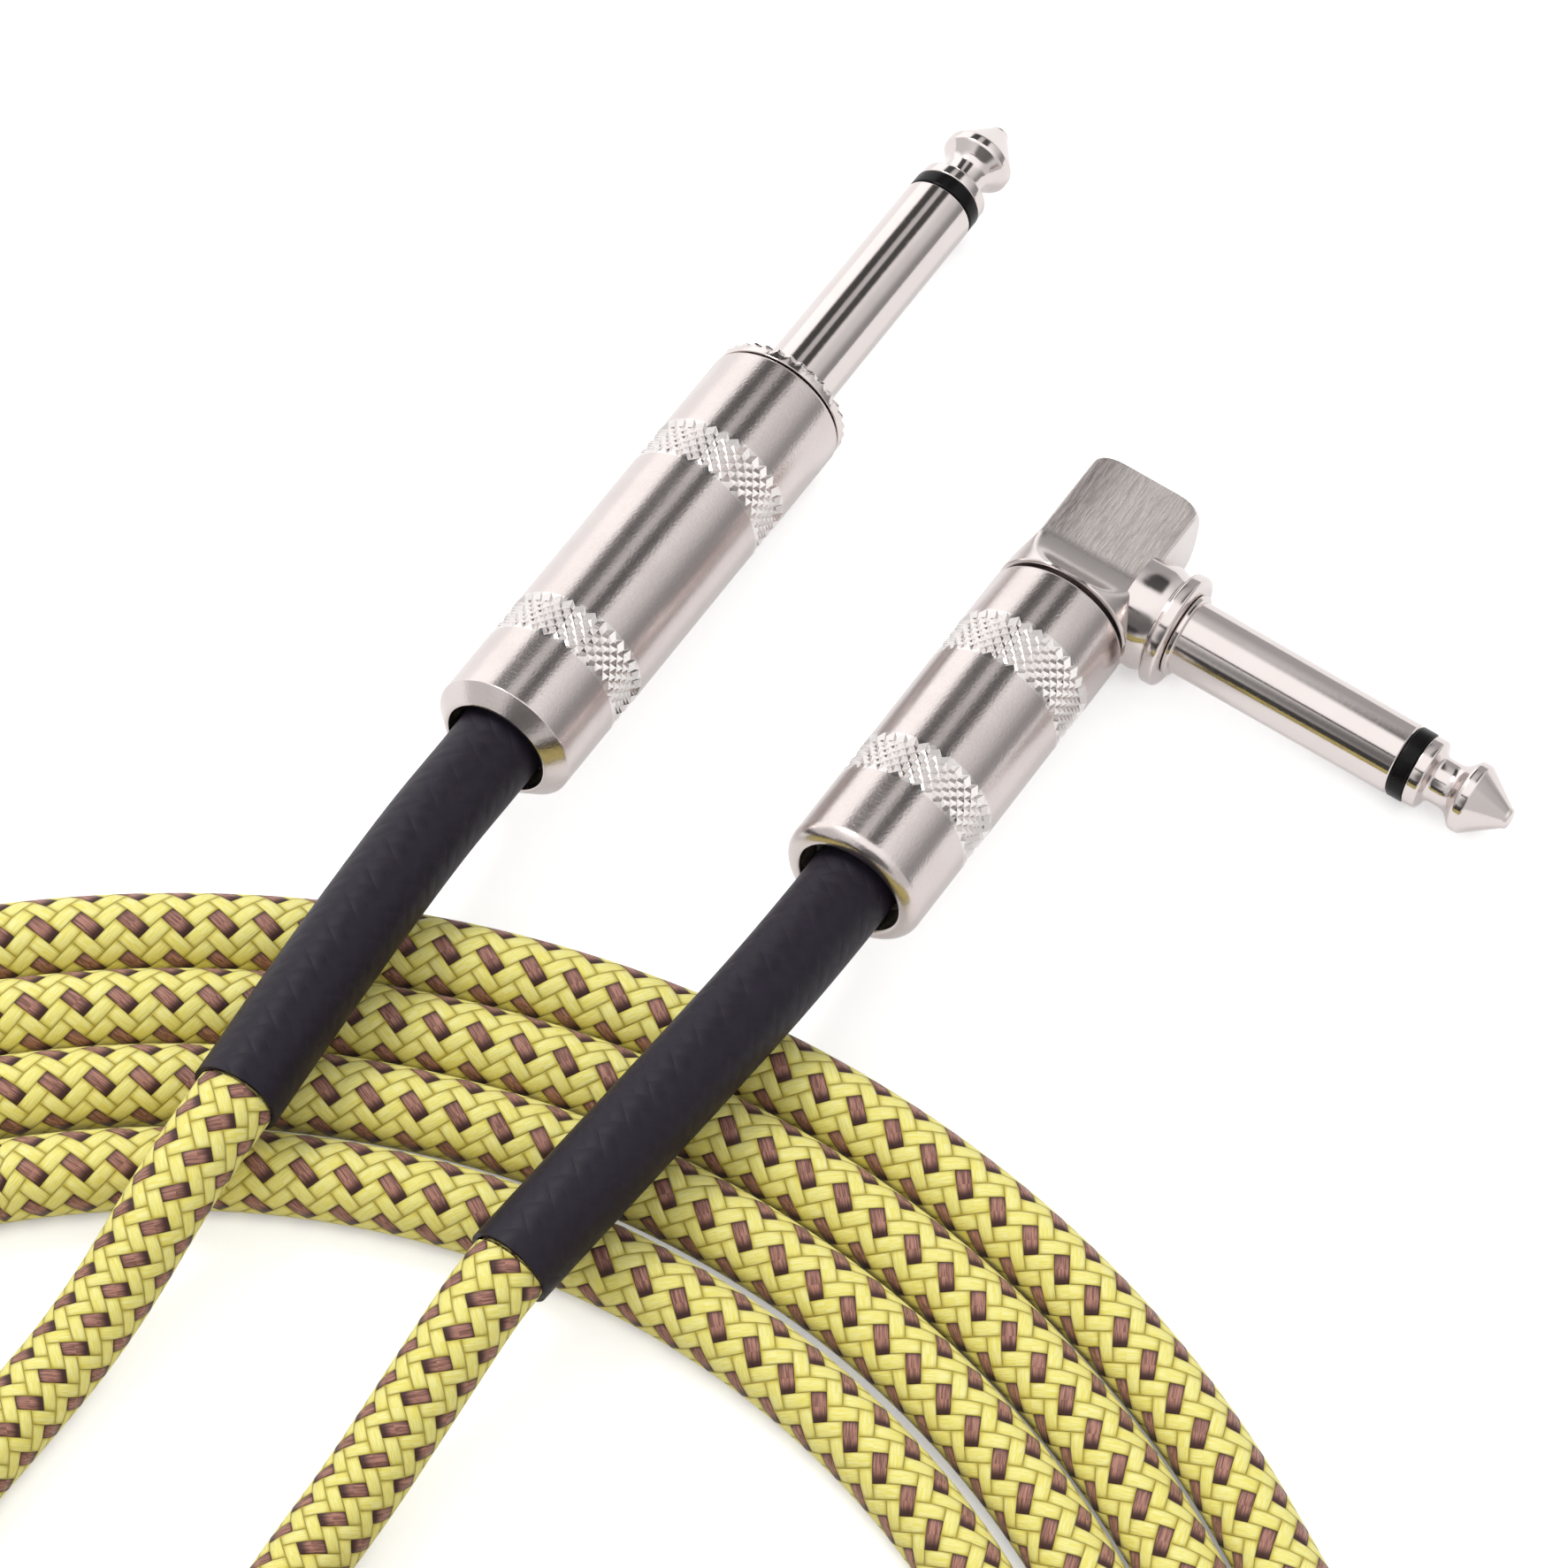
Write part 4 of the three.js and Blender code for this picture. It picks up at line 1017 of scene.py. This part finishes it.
def ground_finish(name, turn):
    finish = Finish(name, Metallic=1.0)
    axes = own_axes(finish, turn)
    along, left, up = finish.split(axes)
    lines = finish.noise(finish.joined(along * 420, left * 5200, up * 5200), 1.0, 4)
    fine = finish.noise(finish.joined(along * 900, left * 15000, up * 15000), 1.0, 2)
    clouds = finish.noise(axes, 300, 3)
    on_flat = finish.between(up, (FLAT_HEIGHT - 0.15) * MM, FLAT_HEIGHT * MM)
    milled = on_flat * finish.between(along, -1 * MM, 0.6 * MM)
    scratch = finish.between(lines * 0.65 + fine * 0.35, 0.3, 0.7) * milled
    # Painted shade: the upper flat darkens towards its left edge, broken up by the scratches.
    left_edge_shade = finish.between(left, 0.5 * MM, 5 * MM) * milled
    tone = finish.mix(scratch * 0.7 + clouds * 0.3, NICKEL, GROUND_DARK)
    finish.shade(
        Base_Color=finish.mix(left_edge_shade * (scratch * 0.5 + 0.4), tone, GROUND_SHADE),
        Roughness=0.2 + clouds * 0.06 + milled * 0.16 + scratch * 0.12,
        Normal=finish.bump(scratch + clouds * 0.1, 0.04 * MM),
    )
    return finish


ground = ground_finish("ground_nickel", ANGLED)
print("ground material:", len(ground.tree.nodes), "nodes")

# %% [markdown]
# ## Plastics and terminals
# The ring between sleeve and tip is glossy black plastic. Inside, and only seen when a barrel is
# off, are a black washer, tinned brass lugs, a copper braid, a white-cored wire and a pale
# insulating tube. One function makes all of these finishes, because they differ in little more
# than colour and gloss.

# %% Finishes of the small parts
def plain_finish(name, first, second, roughness, metallic=0.0, relief=0.01 * MM):
    """A finish that varies a little between two colours, with a faint uneven surface."""
    finish = Finish(name, Metallic=metallic)
    spot = finish.spot()
    clouds = finish.noise(spot, 600, 3)
    grain = finish.noise(spot, 5400, 2)
    finish.shade(
        Base_Color=finish.mix(clouds, first, second),
        Roughness=roughness + grain * 0.1,
        Normal=finish.bump(grain, relief),
    )
    return finish


ring_plastic = plain_finish("ring_plastic", tint(10, 9, 10), tint(20, 18, 20), 0.22)
ring_plastic.shade(Specular_IOR_Level=0.15)
washer_plastic = plain_finish("washer_plastic", tint(20, 19, 21), tint(34, 32, 35), 0.4)
tube_plastic = plain_finish("tube_plastic", tint(214, 209, 196), tint(228, 224, 214), 0.45)
wire_plastic = plain_finish("wire_plastic", tint(228, 226, 219), tint(240, 238, 232), 0.35)
brass = plain_finish("tinned_brass", tint(196, 168, 104), tint(176, 146, 84), 0.28, metallic=1.0)
copper = plain_finish(
    "bare_copper", tint(196, 128, 90), tint(160, 92, 60), 0.35, metallic=1.0, relief=0.06 * MM
)

# %% [markdown]
# ## Put the cable together
# Each barrel unscrews, so it rides on a body of its own, and all the rest rides on the cable. A
# new piece takes the place of the plain solid that it was made from. The small solids inside keep
# their CAD shapes, which are right for parts that are hardly seen, and only get a finish.

# %% Hand over the turned pieces
for side, mesh, finish in (
    ("straight", straight_barrel_mesh, satin_straight), ("angled", angled_barrel_mesh, satin_angled),
):
    add_piece(f"{side}_grip", mesh, finish, f"{side}_barrel", "plated_barrel", f"{side}_barrel")
for name, mesh, finish, slot, node in (
    ("straight_shank", straight_sleeve_mesh, polished, "plated_contact", "straight_sleeve"),
    ("angled_shank", angled_sleeve_mesh, polished, "plated_contact", "angled_sleeve"),
    ("straight_point", straight_tip_mesh, polished, "plated_contact", "straight_tip"),
    ("angled_point", angled_tip_mesh, polished, "plated_contact", "angled_tip"),
    ("straight_ring", straight_ring_mesh, ring_plastic, "contact_insulator", "straight_tip_insulator"),
    ("angled_ring", angled_ring_mesh, ring_plastic, "contact_insulator", "angled_tip_insulator"),
    ("head", head_mesh, ground, "plated_head", "angled_head"),
    ("head_boss", boss_mesh, polished, "plated_head", "angled_head"),
):
    add_piece(name, mesh, finish, "cable", slot, node)

# %% Finish the small solids inside
inside_finishes = {
    "rear_washer": washer_plastic, "tip_lug": brass, "clamp_lug": brass, "core_wire": wire_plastic,
    "shield_pigtail": copper, "insulating_tube": tube_plastic,
}
for side in boot_lines:
    for part, finish in inside_finishes.items():
        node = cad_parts[f"{side}_{part}"]
        node.data.materials.clear()
        node.data.materials.append(finish.material)
print("finished inside each plug:", ", ".join(inside_finishes))

# %% [markdown]
# ## Floor and backdrop
# The cable lies on a white table. The floor is a plain matt white that keeps the soft shadows, and
# what the camera and the metal see of it is lifted a little, so that it reads as pure white. The
# lift stops in the narrow gaps between the strands, which are dark in the photograph.

# %% Lay the floor
FLOOR_HALF, FLOOR_LIFT, GAP_REACH = 1.5, 0.6, 0.003
FLOOR_WHITE, BLACK, WHITE = (0.8, 0.8, 0.8, 1), (0, 0, 0, 1), (1, 1, 1, 1)
scene = bpy.context.scene
scene.view_settings.view_transform = "Standard"
bm = bmesh.new()
bmesh.ops.create_grid(bm, x_segments=1, y_segments=1, size=FLOOR_HALF)
floor_mesh = bpy.data.meshes.new("floor")
bm.to_mesh(floor_mesh)
bm.free()
floor = bpy.data.objects.new("floor", floor_mesh)
scene.collection.objects.link(floor)
white = Finish("white_floor", Base_Color=FLOOR_WHITE, Roughness=0.9)
seen = white.ray("Camera") + white.ray("Glossy") * 0.5
open_sky = white.node("ShaderNodeAmbientOcclusion", {"samples": 8}, {"Distance": GAP_REACH}, output="AO")
lift = white.mix(white.between(open_sky, 0.05, 0.5), BLACK, WHITE)
white.shade(Emission_Color=lift, Emission_Strength=seen * FLOOR_LIFT)
floor_mesh.materials.append(white.material)
print("floor:", 2 * FLOOR_HALF, "m wide")

# %% [markdown]
# ## Light
# Polished metal is a picture of its room. In a photographer's tent that room is white, and black
# flags stand in it so that a round sleeve gets dark lines along its length. Cards and walls could
# be built as objects, but a world that works them out leaves nothing in the way of a camera. Here
# the world is the tent: plain white light for the matt things, and for reflections a bright
# ceiling, long flags over the barrels and the sleeve, a bright back wall, and the dark of the
# photographer.

# %% The tent
tent_world = bpy.data.worlds.new("studio")
scene.world = tent_world
tent = Graph(tent_world, "Background")
direction = tent.node("ShaderNodeTexCoord", output="Generated")


def towards(vector):
    """How far the direction looked in points along a vector, from -1 to 1."""
    pair = {0: direction, 1: Vector(vector).normalized()}
    return tent.node("ShaderNodeVectorMath", {"operation": "DOT_PRODUCT"}, pair, output="Value")


def band(value, centre, half, soft):
    """1 within half of the centre, easing to 0 over the soft edge."""
    away = tent.math("ABSOLUTE", value - centre)
    return 1 - tent.between(away, half - soft, half + soft)


# %% The flags, in degrees round a barrel or sleeve and in shares of its direction along it
FLAG_END = 0.13
BARREL_FLAGS = ((-53, 12, 4, 0.25, 0.78, 1), (-13, 10, 4, 0.25, 0.78, 1), (62, 20, 14, 0.1, 0.8, 0.6))
SLEEVE_FLAGS = ((9, 2.5, 1.5, -0.4, 0, 1), (54, 11, 4, -0.5, 0.1, 1), (-85, 38, 8, -0.5, 0.1, 0.42))


def flag(axis, centre, half, soft, first, last):
    """A long dark card, centre degrees round an axis from the camera's side."""
    facing = (back_off - axis * back_off.dot(axis)).normalized()
    turn = tent.math("ARCTAN2", towards(axis.cross(facing)), towards(facing)) * (180 / pi)
    length = band(towards(axis), (first + last) / 2, (last - first) / 2, FLAG_END)
    return band(turn, centre, half, soft) * length


flags = 0
for plug, cards in ((STRAIGHT, BARREL_FLAGS), (SIDEWAYS, SLEEVE_FLAGS)):
    axis = (plug.to_3x3() @ ALONG_X).normalized()
    for *card, depth in cards:
        flags = flags + flag(axis, *card) * depth

# %% The light of the tent and what is reflected of it
WALL_LIGHT, CEILING_LIGHT, BACK_LIGHT, TENT_LIGHT = 0.775, 0.5625, 0.75, 0.78
TENT_WHITE = (1.0, 0.995, 0.99, 1)
photographer = tent.between(towards((-0.25, -0.8, 0.54)), 0.88, 0.96)
ceiling = tent.between(towards((0, 0, 1)), 0.45, 0.95)
back_wall = tent.between(towards((-0.5, 0.85, 0.15)), 0.7, 0.95)
dark = tent.math("MINIMUM", flags + photographer * 0.85, 1.0)
reflected = (WALL_LIGHT + ceiling * CEILING_LIGHT + back_wall * BACK_LIGHT) * (1 - dark * 0.93)
strength = TENT_LIGHT + (reflected - TENT_LIGHT) * tent.ray("Glossy")
strength = strength + (1 - strength) * tent.ray("Camera")
tent.shade(Strength=strength, Color=TENT_WHITE)
print("tent:", len(tent.tree.nodes), "nodes")

# %% One soft lamp, high on the left behind the cable
LAMP_SIZE, LAMP_POWER = 0.35, 3.2
lamp = bpy.data.lights.new("key", "AREA")
lamp.shape, lamp.size, lamp.energy = "DISK", LAMP_SIZE, LAMP_POWER
key = bpy.data.objects.new("key", lamp)
key.location = (-0.35, 0.35, 0.8)
key.rotation_euler = (Vector((0, -0.02, 0)) - key.location).to_track_quat("-Z", "Y").to_euler()
scene.collection.objects.link(key)
print(f"lamp {key.location.length:.2f} m from the middle")
